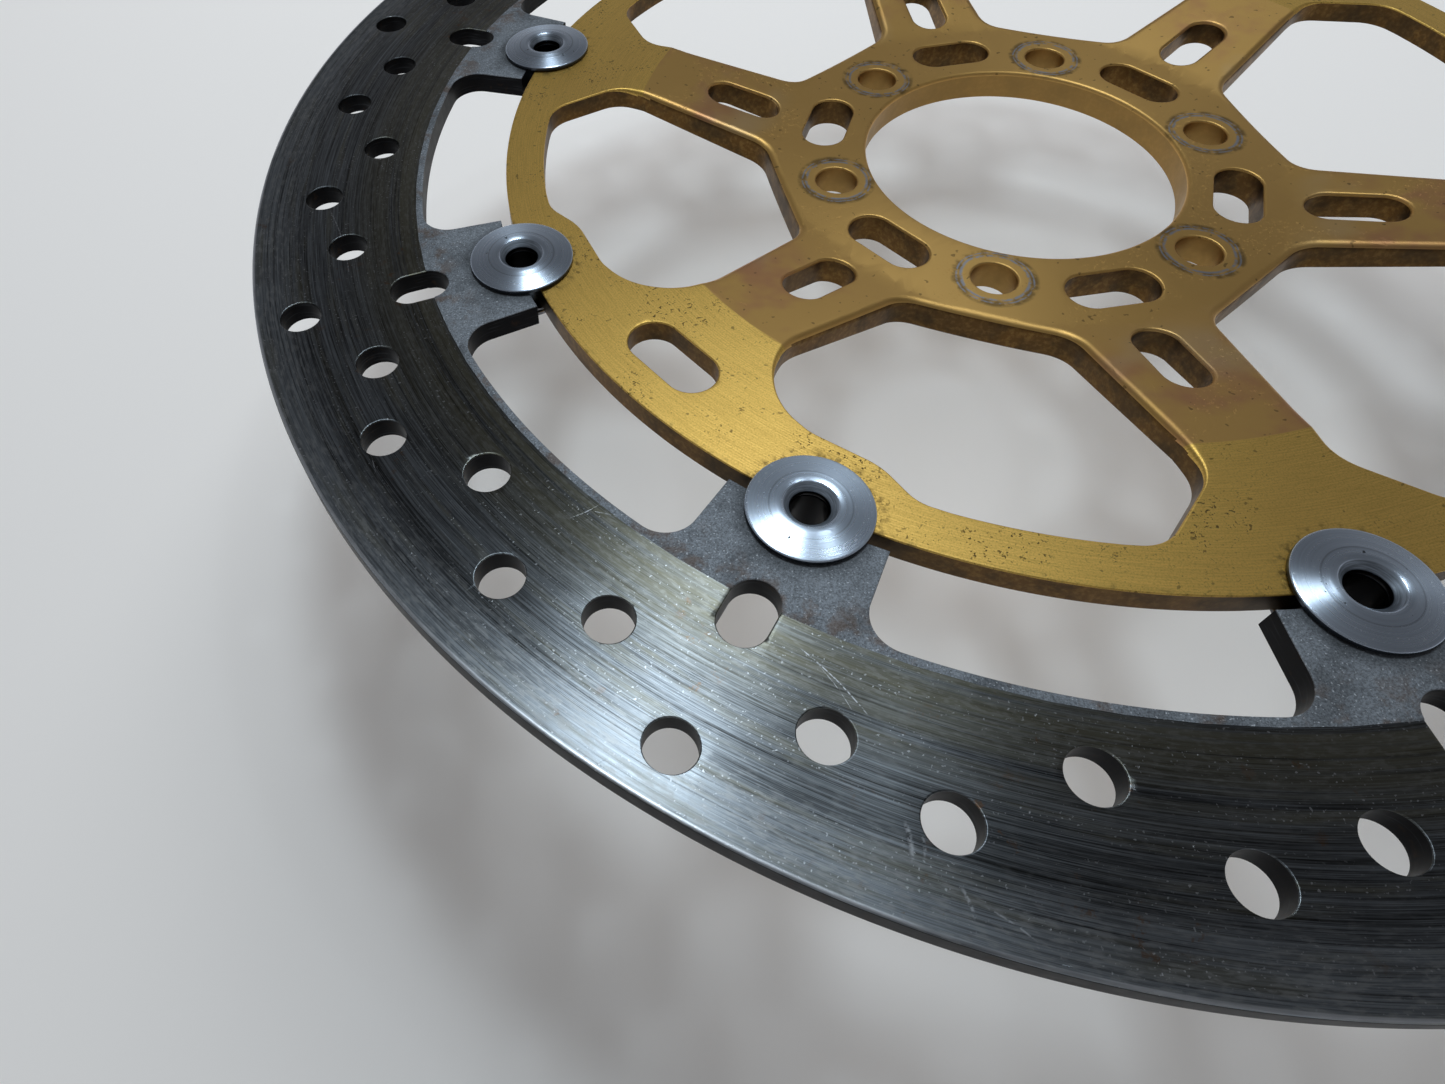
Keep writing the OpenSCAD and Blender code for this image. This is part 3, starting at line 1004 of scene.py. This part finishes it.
@dataclass(frozen=True)
class TurnedSteel:
    """The bobbins' finish: bright steel with the lathe's marks.

    Attributes:
        bright: Colour of the metal.
        grey: Colour between the lathe's marks.
        deep: Colour of the countersink, darkened as painted shade.
        stain: Colour of its nicks, and of painted shade in the hole, on the flange's side and
            below the flange.
        powder: Colour of the dust on it.
        nicks: The tool's nicks beside the hole.
    """

    bright: Colour = (0.72, 0.84, 1.0, 1)
    grey: Colour = (0.42, 0.50, 0.62, 1)
    deep: Colour = (0.14, 0.16, 0.18, 1)
    stain: Colour = (0.008, 0.008, 0.009, 1)
    powder: Colour = (0.85, 0.88, 0.92, 1)
    nicks: Mottle = Mottle(0.75, 2, 0.6, 0.68, 0.72)
    dust: Mottle = Mottle(2.4, 1, 0.4, 0.68, 0.74)

    def surface(self, rim_r: float, rim_z: float) -> bpy.types.Material:
        """The whole bobbin.

        Args:
            rim_r: Radius of the flange.
            rim_z: Height of the flange's upper rim.

        Returns:
            The material.
        """
        g = Graph(bpy.data.materials.new("turned_bobbin"))
        at = Round(g)
        out, along = at.nearest(BOBBINS, FIRST_BOBBIN, BOBBIN_CIRCLE)
        radius = g.math("SQRT", out * out + along * along)
        ringed = g.vector(out / radius * 1.2, along / radius * 1.2, radius * 6.0)
        rings = g.noise(ringed, 1.0, 2, 0.6)
        coarse = g.noise(g.vector(out * 0.02, along * 0.02, radius * 1.8), 1.0, 2, 0.6)
        nicks = self.nicks.mask(at) * g.band(radius, 4.6, 7.6, 0.5)
        dust = self.dust.mask(at)
        line = g.band(radius, 6.1, 6.3, 0.12)
        sink = g.band(radius, 3.1, 4.1, 0.1) * (0.55 + g.smooth(rings, 0.35, 0.6) * 0.45)
        below_rim = 1 - g.smooth(at.z, rim_z - 0.25, rim_z - 0.05)
        tone = g.paint(
            self.bright,
            (g.smooth(coarse, 0.3, 0.75) * 0.45, self.grey),
            (rings * 0.25, self.grey),
            (dust * 0.35, self.powder),
            (nicks * 0.85, self.stain),
            (line * 0.35, self.stain),
            # Painted shade in the countersink, broken by the lathe's rings.
            (sink * 0.8, self.deep),
            # Painted shade: the hole goes black.
            (1 - g.smooth(radius, 3.05, 3.2), self.stain),
            # Painted shade on the flange's side, below its rim.
            (g.smooth(radius, rim_r - 0.12, rim_r - 0.02) * below_rim * 0.9, self.stain),
            # Painted shade: everything below the flange darkens.
            ((1 - g.smooth(at.z, rim_z - 0.9, rim_z - 0.7)) * 0.6, self.stain),
        )
        rough = 0.24 + coarse * 0.08 + nicks * 0.3 + dust * 0.08 + sink * 0.15
        height = rings * 0.6 + coarse * 0.4 - nicks * 0.9 - line * 0.5
        return g.metal(tone, rough, height, 0.008, 0.78)


@dataclass(frozen=True)
class SpringSteel:
    """The finish of the springs, washers and clips: dark oiled steel.

    Attributes:
        dark: Colour of the oxide.
        worn: Colour where it rubbed off.
        patch: Where it rubbed off.
        fine: Its fine grain.
    """

    dark: Colour = (0.12, 0.122, 0.13, 1)
    worn: Colour = (0.42, 0.42, 0.43, 1)
    patch: Mottle = Mottle(0.6, 3, 0.6, 0.45, 0.7)
    fine: Mottle = Mottle(3.0, 2, 0.6)

    def surface(self) -> bpy.types.Material:
        """The whole surface.

        Returns:
            The material.
        """
        g = Graph(bpy.data.materials.new("spring_steel"))
        at = Round(g)
        fine = self.fine.noise(at)
        tone = g.paint(self.dark, (self.patch.mask(at) * 0.6, self.worn))
        return g.metal(tone, 0.32 + fine * 0.18, fine, 0.008)


# ------------------------------------------------------------ the parts


@dataclass
class Carrier:
    """The spoked carrier, sized and named as in the CAD part.

    Attributes:
        ring_angles: Where the windows' corners lie along the ring's inner edge.
        ring_slot: Distance, length and width, as are hub_slot and spoke_slot.
        soft_edge: Rounding of the windows' upper rims by the hub.
        crisp_edge: Their rounding on the ring, where the slots have it too.
        edge_blend: Where the one turns into the other.
        finish: Its finish.
    """

    outer_r: float = 108.7
    notch_r: float = 6.09
    ring_inner_r: float = 100.8
    ring_angles: tuple[float, ...] = (30.4, 32, 34, 36, 38, 40, 42, 44)
    bore_r: float = 32.0
    hub_t: float = 6.0
    ring_offset: float = 7.0
    ring_t: float = 4.5
    dish_inner_r: float = 50.5
    dish_outer_r: float = 82.0
    hub_flat_r: float = 51.5
    spoke_half: float = 10.3
    spoke_taper: float = 0.084
    hub_fillet: float = 6.0
    ring_fillet: float = 13.5
    ring_fillet_x: float = 91.4
    boss_start: Vector = field(default_factory=lambda: Vector((91.6, 26.8)))
    boss_end: Vector = field(default_factory=lambda: Vector((88.2, 38.5)))
    ring_start: Vector = field(default_factory=lambda: Vector((89.2, 46.6)))
    boss_fillets: tuple[float, float, float] = (9.0, 12.0, 7.0)
    gusset_outer: tuple[float, float] = (22.0, 98.3)
    gusset_inner: tuple[float, float] = (9.9, 87.6)
    gusset_fillet: float = 7.0
    bolt_r: float = 40.0
    bolt_hole_r: float = 4.25
    plain_spokes: tuple[int, ...] = (90, 210, 330)
    ring_slot: tuple[float, float, float] = (97.4, 18.9, 9.4)
    hub_slot: tuple[float, float, float] = (41.2, 17.6, 9.0)
    spoke_slot: tuple[float, float, float] = (60.8, 16.4, 8.0)
    soft_edge: float = 1.7
    crisp_edge: float = 0.3
    edge_blend: tuple[float, float] = (78, 90)
    rim_edge: float = 0.25
    bore_edge: float = 0.8
    bolt_edge: float = 0.4
    hub_slot_edge: float = 0.45
    spoke_slot_edge: float = 0.6
    soft_depth: float = 0.9
    finish: GoldAnodising = field(default_factory=GoldAnodising)

    def spoke_width(self, distance: float) -> float:
        """Half the width of a spoke at a distance from the centre."""
        return self.spoke_half + (self.dish_outer_r - distance) * self.spoke_taper

    def beside_spoke(self, place: tuple[float, float]) -> Vector:
        """A point beside and along the spoke at 60 degrees."""
        return polar(place[0], -30) + polar(place[1], 60)

    def window(self) -> list[Vector]:
        """Returns one window, from a plain spoke at 0 to the next at 60 degrees."""
        half = math.radians(BOLT_PITCH / 2)
        hub_half = self.spoke_width(self.hub_flat_r)
        hub_x = (self.hub_flat_r - hub_half * math.sin(half)) / math.cos(half)
        ring_x = self.ring_fillet_x
        corners = [
            (Vector((hub_x, self.spoke_width(hub_x))), self.hub_fillet),
            (Vector((ring_x, self.spoke_width(ring_x))), self.ring_fillet),
            (self.boss_start, self.boss_fillets[0]),
            (self.boss_end, self.boss_fillets[1]),
            (self.ring_start, self.boss_fillets[2]),
        ]
        corners += [(polar(self.ring_inner_r, angle), 0.0) for angle in self.ring_angles]
        corners += [
            (self.beside_spoke(self.gusset_outer), self.gusset_fillet),
            (self.beside_spoke(self.gusset_inner), self.gusset_fillet),
            (self.beside_spoke((self.spoke_width(hub_x), hub_x)), self.hub_fillet),
        ]
        return spaced(rounded(corners, FILLET_STEP), LONG_STEP)

    def rim(self) -> list[Vector]:
        """Returns the outer edge with its half-round notches."""
        gap, open_at = notch_mouth(self.outer_r, self.notch_r)
        bobbin = Vector((BOBBIN_CIRCLE, 0))
        notch = arc(bobbin, self.notch_r, -open_at, open_at - 360, NOTCH_STEP)
        outline: list[Vector] = []
        for angle in BOBBIN_ANGLES:
            ends = angle + gap, angle + BOBBIN_PITCH - gap
            outline += turned(notch, angle) + arc(CENTRE, self.outer_r, *ends, RIM_STEP)[1:-1]
        return outline

    def window_edge(self, distance: float) -> float:
        """Rounding of a window's upper rim: soft by the hub, crisp on the ring."""
        begin, full = self.edge_blend
        blend = max(0.0, min(1.0, (distance - begin) / (full - begin)))
        return self.soft_edge + (self.crisp_edge - self.soft_edge) * blend

    def openings(self) -> list[Edge]:
        """Returns the edges of all the windows, slots and holes."""
        window = self.window()
        ring_slot = stadium(self.ring_slot, 90, HOLE_STEP)
        hub_slot = stadium(self.hub_slot, 90, HOLE_STEP)
        spoke_slot = spaced(stadium(self.spoke_slot, 0, HOLE_STEP), LONG_STEP)
        edges = [Edge(circle(CENTRE, self.bore_r, BORE_STEP), True, self.bore_edge, 0.3)]
        for spoke in self.plain_spokes:
            for outline in (window, mirrored(window)):
                edges.append(Edge(turned(outline, spoke), True, self.window_edge, 0.5, 6))
            edges.append(Edge(turned(ring_slot, spoke), True, self.crisp_edge))
        for bolt in BOLT_ANGLES:
            spoke = bolt + BOLT_PITCH / 2
            edges.append(Edge(turned(hub_slot, spoke), True, self.hub_slot_edge))
            edges.append(Edge(turned(spoke_slot, spoke), True, self.spoke_slot_edge))
            bolt_hole = circle(polar(self.bolt_r, bolt), self.bolt_hole_r, HOLE_STEP)
            edges.append(Edge(bolt_hole, True, self.bolt_edge))
        return edges

    def dish(self, bm: bmesh.types.BMesh) -> None:
        """Presses the flat blank into the dished shape."""
        span = self.dish_outer_r - self.dish_inner_r
        for vert in bm.verts:
            share = max(0.0, min(1.0, (vert.co.xy.length - self.dish_inner_r) / span))
            low = self.ring_offset * share
            thickness = self.hub_t + (self.ring_t - self.hub_t) * share
            top_rim = self.hub_t - vert.co.z
            if vert.co.z > self.hub_t / 2:
                vert.co.z = low + thickness - top_rim
            else:
                vert.co.z += low

    def build(self) -> None:
        """Makes the carrier."""
        edges = [Edge(self.rim(), False, self.rim_edge), *self.openings()]
        bm = Plate(0.0, self.hub_t, edges, self.soft_depth).build()
        cut_sectors(bm, (self.dish_inner_r, self.dish_outer_r))
        self.dish(bm)
        mark_creases(bm, (self.dish_outer_r,))
        faces = self.finish.face(self.dish_outer_r, self.outer_r, self.bolt_r)
        walls = self.finish.walls(self.bore_r, self.bolt_r)
        piece = finished_piece(bm, "carrier_plate", [faces, walls])
        hand_over(piece, "carrier", "carrier", Slot.GOLD)


@dataclass
class Rotor:
    """The drilled rotor ring with its nine tabs, sized as the CAD part.

    Attributes:
        track: Inner and outer radius of the track that the pads rub.
        wear: How deep it is worn.
        bay_edge: Rounding of the inner edge's rims, as are the other edges.
        step_w: Half the width of the step at its ends.
        tab_corner: How far the tab's corner is rounded back.
        vent_rows: Radii of the rows of holes.
        vent_turn: Degrees between two rows.
        slot: Distance, length and width of the slots.
        finish: Its finish.
    """

    outer_r: float = 159.95
    inner_r: float = 126.0
    low: float = 7.0
    high: float = 11.5
    track: tuple[float, float] = (127.25, 159.0)
    wear: float = 0.15
    step_w: float = 0.12
    tab_end_r: float = 110.8
    tab_end_half: float = 13.1
    tab_root_half: float = 13.9
    tab_fillet: float = 5.5
    tab_corner: float = 0.07
    notch_r: float = 6.1
    vent_r: float = 3.8
    vent_rows: tuple[float, float, float, float] = (136.2, 141.3, 146.4, 151.8)
    vent_turn: float = 6.6667
    vent_edge: float = 0.22
    rim_edge: float = 0.45
    bay_edge: float = 0.2
    soft_depth: float = 0.3
    slot: tuple[float, float, float] = (129.4, 11.2, 7.6)
    finish: RotorSteel = field(default_factory=RotorSteel)

    def tab_side(self) -> list[Vector]:
        """Returns one side of the tab at angle 0, from its notch to the ring."""
        fillet_y = self.tab_root_half + self.tab_fillet
        fillet_x = math.sqrt((self.inner_r - self.tab_fillet) ** 2 - fillet_y**2)
        meet = math.degrees(math.atan2(fillet_y, fillet_x))
        flare = (self.tab_root_half - self.tab_end_half) / (fillet_x - self.tab_end_r)
        gap, open_at = notch_mouth(self.tab_end_r, self.notch_r)
        corner = math.degrees(math.asin((self.tab_end_half - self.tab_corner) / self.tab_end_r))
        tilt = math.degrees(math.atan(flare))
        fillet = Vector((fillet_x, fillet_y))
        side = arc(Vector((BOBBIN_CIRCLE, 0)), self.notch_r, 0, open_at, NOTCH_STEP)
        side += arc(CENTRE, self.tab_end_r, gap, corner, 1.0)[1:]
        side += arc(fillet, self.tab_fillet, 270 + tilt, 360 + meet, NOTCH_STEP)
        side += arc(CENTRE, self.inner_r, meet, BOBBIN_PITCH / 2, RIM_STEP)[1:]
        return side

    def inner_edge(self) -> list[Vector]:
        """Returns the inner edge, round all the tabs and bays."""
        side = self.tab_side()
        tab = mirrored(side)[1:] + side[1:]
        return spaced([p for angle in BOBBIN_ANGLES for p in turned(tab, angle)], LONG_STEP)

    def vents(self) -> list[Edge]:
        """Returns the edges of the cooling holes and slots."""
        first, second, third, fourth = self.vent_rows
        slot = stadium(self.slot, 0, VENT_STEP)
        outlines = []
        for angle in BOBBIN_ANGLES:
            holes = [(fourth, 0.0), (first, BOBBIN_PITCH / 2)]
            for side in (-self.vent_turn, self.vent_turn):
                holes += [(second, side), (third, side * 2)]
            for radius, turn in holes:
                outlines.append(circle(polar(radius, angle + turn), self.vent_r, VENT_STEP))
            outlines.append(turned(slot, angle))
        return [Edge(o, True, self.vent_edge, self.vent_edge, 2) for o in outlines]

    def wear_tracks(self, bm: bmesh.types.BMesh) -> None:
        """Lowers the stretch of both faces that the pads rub."""
        middle = (self.low + self.high) / 2
        for vert in bm.verts:
            if self.track[0] < vert.co.xy.length < self.track[1]:
                vert.co.z += self.wear if vert.co.z < middle else -self.wear

    def build(self) -> None:
        """Makes the rotor."""
        rim = circle(CENTRE, self.outer_r, OUTER_STEP)
        outer = Edge(rim, False, self.rim_edge, self.rim_edge)
        inner = Edge(self.inner_edge(), True, self.bay_edge, self.bay_edge, 2)
        edges = [outer, inner, *self.vents()]
        bm = Plate(self.low, self.high, edges, self.soft_depth).build()
        steps = [t + s * self.step_w for t in self.track for s in (-1, 1)]
        cut_sectors(bm, steps)
        self.wear_tracks(bm)
        for face in bm.faces:
            reach = face.calc_center_median().xy.length
            if face.material_index == Zone.FACE.value and reach < self.track[0]:
                face.material_index = Zone.LAND.value
        finish = self.finish
        materials = [finish.track(*self.track), finish.walls(), finish.lands(self.track[0])]
        piece = finished_piece(bm, "rotor_ring", materials)
        hand_over(piece, "brake_rotor", "rotor", Slot.ROTOR)


@dataclass
class BobbinSet:
    """One bobbin with the spring, washer and clip that hold it.

    Attributes:
        number: Which of the nine it is, from 1.
        metal: Material of the bobbin.
        dark: Material of its spring, washer and clip.
        clip: Lower and upper face of the clip, as is washer for the washer.
        strip: Inner and outer radius of the spring.
        washer_r: Inner and outer radius of the washer.
        washer_cut: Its broken edges.
        wave_h: Height of the spring's waves.
    """

    number: int
    metal: bpy.types.Material
    dark: bpy.types.Material
    flange_r: float = 9.75
    barrel_r: float = 6.0
    groove_r: float = 5.3
    hole_r: float = 3.0
    flange_z: float = 11.75
    rim_z: float = 12.55
    land_z: float = 13.25
    end_z: float = 2.6
    clip: tuple[float, float] = (4.05, 4.95)
    washer: tuple[float, float] = (5.0, 5.8)
    washer_r: tuple[float, float] = (6.3, 8.8)
    washer_cut: float = 0.12
    strip: tuple[float, float] = (6.3, 8.6)
    spring_z: float = 5.85
    strip_t: float = 0.4
    wave_h: float = 0.7
    waves: int = 3
    lug_angle: float = 17
    lug_r: float = 1.5
    lug_hole_r: float = 0.65
    clip_edge: float = 0.08
    lug_hole_edge: float = 0.06
    turning_steps: int = 96
    ring_steps: int = 72

    @property
    def body(self) -> str:
        """The CAD body of this set."""
        return f"bobbin_set_{self.number}"

    @property
    def place(self) -> Matrix:
        """Where the set stands."""
        turn = Matrix.Rotation(math.radians(BOBBIN_ANGLES[self.number - 1]), 4, "Z")
        return turn @ Matrix.Translation((BOBBIN_CIRCLE, 0, 0))

    def add(
        self,
        bm: bmesh.types.BMesh,
        kind: str,
        node: str,
        material: bpy.types.Material,
        slot: Slot,
    ) -> None:
        """Finishes one piece of the set.

        Args:
            bm: Its mesh about the bobbin's axis.
            kind: The start of the piece's name.
            node: The start of the CAD node's name.
            material: Its material.
            slot: The record's material slot.
        """
        piece = finished_piece(bm, f"{kind}_{self.number}", [material], self.place)
        hand_over(piece, f"{node}_{self.number}", self.body, slot)

    def turn_bobbin(self) -> bmesh.types.BMesh:
        """Returns the bobbin, turned from one profile."""
        rim, land, flange = self.rim_z, self.land_z, self.flange_r
        clip_low, clip_high = self.clip
        return lathe(
            [
                (self.hole_r, self.end_z + 0.3), (self.hole_r + 0.3, self.end_z),
                (self.barrel_r - 0.3, self.end_z), (self.barrel_r, self.end_z + 0.3),
                (self.barrel_r, clip_low - 0.05), (self.groove_r, clip_low - 0.05),
                (self.groove_r, clip_high + 0.05), (self.barrel_r, clip_high + 0.05),
                (self.barrel_r, self.flange_z), (flange - 0.15, self.flange_z),
                (flange, self.flange_z + 0.12), (flange, rim - 0.2),
                (flange - 0.06, rim - 0.08), (flange - 0.2, rim - 0.01),
                (flange - 0.4, rim + 0.02),
                (6.3, land - 0.17), (6.1, land - 0.17), (5.3, land - 0.02), (5.05, land),
                (4.3, land), (4.15, land - 0.06), (3.9, land - 0.42), (3.25, land - 0.95),
                (self.hole_r, land - 1.3),
                (self.hole_r, land - 1.9), (self.hole_r + 0.12, land - 2.1),
                (self.hole_r, land - 2.3),
            ],
            self.turning_steps,
        )

    def wave_spring(self) -> bmesh.types.BMesh:
        """Returns the wave spring, a spun strip with waves."""
        low, high = self.spring_z, self.spring_z + self.strip_t
        inner, outer = self.strip
        bm = lathe([(inner, low), (outer, low), (outer, high), (inner, high)], self.ring_steps)
        for vert in bm.verts:
            angle = math.atan2(vert.co.y, vert.co.x)
            vert.co.z += self.wave_h * (1 - math.cos(self.waves * angle)) / 2
        return bm

    def flat_washer(self) -> bmesh.types.BMesh:
        """Returns the flat washer, with broken edges."""
        (inner, outer), (low, high), cut = self.washer_r, self.washer, self.washer_cut
        return lathe(
            [
                (inner + cut, low), (outer - cut, low), (outer, low + cut),
                (outer, high - cut),
                (outer - cut, high), (inner + cut, high), (inner, high - cut),
                (inner, low + cut),
            ],
            self.ring_steps,
        )

    def circlip(self) -> bmesh.types.BMesh:
        """Returns the circlip, with a gap between its two lugs."""
        inner, outer = self.groove_r + 0.04, self.groove_r + 1.9
        lug = polar(self.groove_r + 2.1, self.lug_angle)
        upper = [polar(inner, 6)] + arc(lug, self.lug_r, -56, 117, 0.35)
        outline = upper + arc(CENTRE, outer, 30, 330, NOTCH_STEP) + mirrored(upper)
        outline += arc(CENTRE, inner, -8, -352, NOTCH_STEP)
        edges = [Edge(outline, False, self.clip_edge, self.clip_edge, 2)]
        for angle in (-self.lug_angle, self.lug_angle):
            hole = circle(polar(self.groove_r + 2.2, angle), self.lug_hole_r, 0.3)
            edges.append(Edge(hole, True, self.lug_hole_edge, self.lug_hole_edge, 2))
        bm = Plate(*self.clip, edges).build()
        for face in bm.faces:
            face.material_index = 0
        return bm

    def build(self) -> None:
        """Makes the set's four pieces."""
        self.add(self.turn_bobbin(), "bobbin_turned", "bobbin", self.metal, Slot.BOBBIN)
        self.add(self.wave_spring(), "spring_waved", "wave_spring", self.dark, Slot.RETAINER)
        self.add(self.flat_washer(), "washer_flat", "flat_washer", self.dark, Slot.RETAINER)
        self.add(self.circlip(), "clip_round", "circlip", self.dark, Slot.RETAINER)


# --------------------------------------------------------------- studio

COOL_WHITE = (0.84, 0.94, 1.0)


@dataclass
class Lamp:
    """One soft lamp.

    Attributes:
        name: Its name.
        at: Its place in metres.
        target: What it points at.
        size: Length of its sides.
        power: Its power in watts.
        colour: The colour of its light.
        shine: Whether polished metal reflects it.
    """

    name: str
    at: tuple[float, float, float]
    target: tuple[float, float, float]
    size: tuple[float, float]
    power: float
    colour: tuple[float, float, float] = (1, 1, 1)
    shine: bool = True

    def hang(self) -> None:
        """Adds the lamp to the scene."""
        light = bpy.data.lights.new(self.name, "AREA")
        light.shape = "RECTANGLE"
        light.size, light.size_y = self.size
        light.energy = self.power
        light.color = self.colour
        holder = bpy.data.objects.new(self.name, light)
        holder.location = self.at
        aim = Vector(self.target) - Vector(self.at)
        holder.rotation_euler = aim.to_track_quat("-Z", "Y").to_euler()
        holder.visible_glossy = self.shine
        bpy.context.scene.collection.objects.link(holder)


@dataclass
class Studio:
    """The pale floor, the soft light and the camera.

    Attributes:
        camera_at: The camera's place in metres.
        camera_turn: The camera's Euler angles in degrees.
        lens: Focal length in millimetres.
        sensor: Width of the sensor in millimetres.
        shift: The camera's small shift, in widths of the picture.
        floor_z: Height of the floor in metres.
        floor_r: Radius of the floor in metres.
        floor_glow: How much the floor lights itself, which softens the shadows.
        room: Brightness of the room's light at heights from level to overhead.
        lamps: The lamps.
    """

    camera_at: tuple[float, float, float] = (-0.108719, -0.156384, 0.125459)
    camera_turn: tuple[float, float, float] = (34.8798, 3.0219, -7.5503)
    lens: float = 22.5452
    sensor: float = 36.0
    shift: tuple[float, float] = (0.09886, -0.02663)
    floor_z: float = -0.07
    floor_r: float = 6.0
    floor_glow: float = 0.09
    room: tuple[tuple[float, float], ...] = (
        (0.0, 0.60), (0.10, 0.55), (0.25, 0.20), (0.60, 0.10), (0.85, 0.09), (1.0, 0.15),
    )
    lamps: tuple[Lamp, ...] = (
        Lamp("softbox", (-0.02, 0.26, 0.95), (-0.08, -0.09, 0), (0.17, 0.24), 2.8, COOL_WHITE),
        Lamp("spot", (0.24, 0.175, 0.92), (-0.08, -0.09, 0), (0.05, 0.05), 0.3, COOL_WHITE),
        Lamp("wash", (0.15, 0.90, 0.95), (0, -0.1, 0), (1.0, 1.0), 10.5, shine=False),
    )

    def lay_floor(self) -> None:
        """Lays a wide pale floor."""
        bm = bmesh.new()
        bmesh.ops.create_circle(bm, cap_ends=True, radius=self.floor_r, segments=64)
        bmesh.ops.translate(bm, vec=(0, 0, self.floor_z), verts=bm.verts[:])
        mesh = bpy.data.meshes.new("floor")
        bm.to_mesh(mesh)
        bm.free()
        floor = bpy.data.objects.new("floor", mesh)
        bpy.context.scene.collection.objects.link(floor)
        g = Graph(bpy.data.materials.new("pale_floor"))
        shader = g.node(
            "ShaderNodeBsdfPrincipled", None,
            {
                "Base Color": (0.78, 0.78, 0.78, 1), "Roughness": 0.9, "Specular IOR Level": 0.1,
                "Emission Color": (1, 1, 1, 1), "Emission Strength": self.floor_glow,
            },
        )
        g.node("ShaderNodeOutputMaterial", None, {"Surface": Value(g, shader.outputs[0])})
        mesh.materials.append(g.owner)

    def light_room(self) -> None:
        """Sets the room's light, which is paler by the horizon."""
        world = bpy.data.worlds.new("room")
        bpy.context.scene.world = world
        g = Graph(world)
        source = g.node("ShaderNodeTexCoord")
        parts = g.node(
            "ShaderNodeSeparateXYZ", None, {0: Value(g, source.outputs["Generated"])}
        )
        stops = [(height, (grey, grey, grey * 1.03, 1)) for height, grey in self.room]
        ramp = g.node("ShaderNodeValToRGB", {"stops": stops}, {0: Value(g, parts.outputs[2])})
        glow = g.node("ShaderNodeBackground", None, {"Color": Value(g, ramp.outputs[0])})
        g.node("ShaderNodeOutputWorld", None, {"Surface": Value(g, glow.outputs[0])})

    def stand_camera(self) -> None:
        """Stands the camera where it looks down over the rim."""
        camera = bpy.data.cameras.new("camera")
        camera.sensor_width, camera.lens = self.sensor, self.lens
        camera.shift_x, camera.shift_y = self.shift
        camera.clip_start = 0.005
        holder = bpy.data.objects.new("camera", camera)
        holder.location = self.camera_at
        holder.rotation_euler = Euler([math.radians(a) for a in self.camera_turn])
        bpy.context.scene.collection.objects.link(holder)
        bpy.context.scene.camera = holder

    def build(self) -> None:
        """Sets up the studio."""
        self.lay_floor()
        self.light_room()
        for lamp in self.lamps:
            lamp.hang()
        self.stand_camera()


def main() -> None:
    """Builds the disc and its studio."""
    logging.basicConfig(level=logging.INFO, format="%(message)s")
    bpy.context.scene.view_settings.view_transform = "Standard"
    Studio().build()
    Carrier().build()
    Rotor().build()
    metal = TurnedSteel().surface(BobbinSet.flange_r, BobbinSet.rim_z)
    dark = SpringSteel().surface()
    for number in range(1, BOBBINS + 1):
        BobbinSet(number, metal, dark).build()


if __name__ == "__main__":
    main()
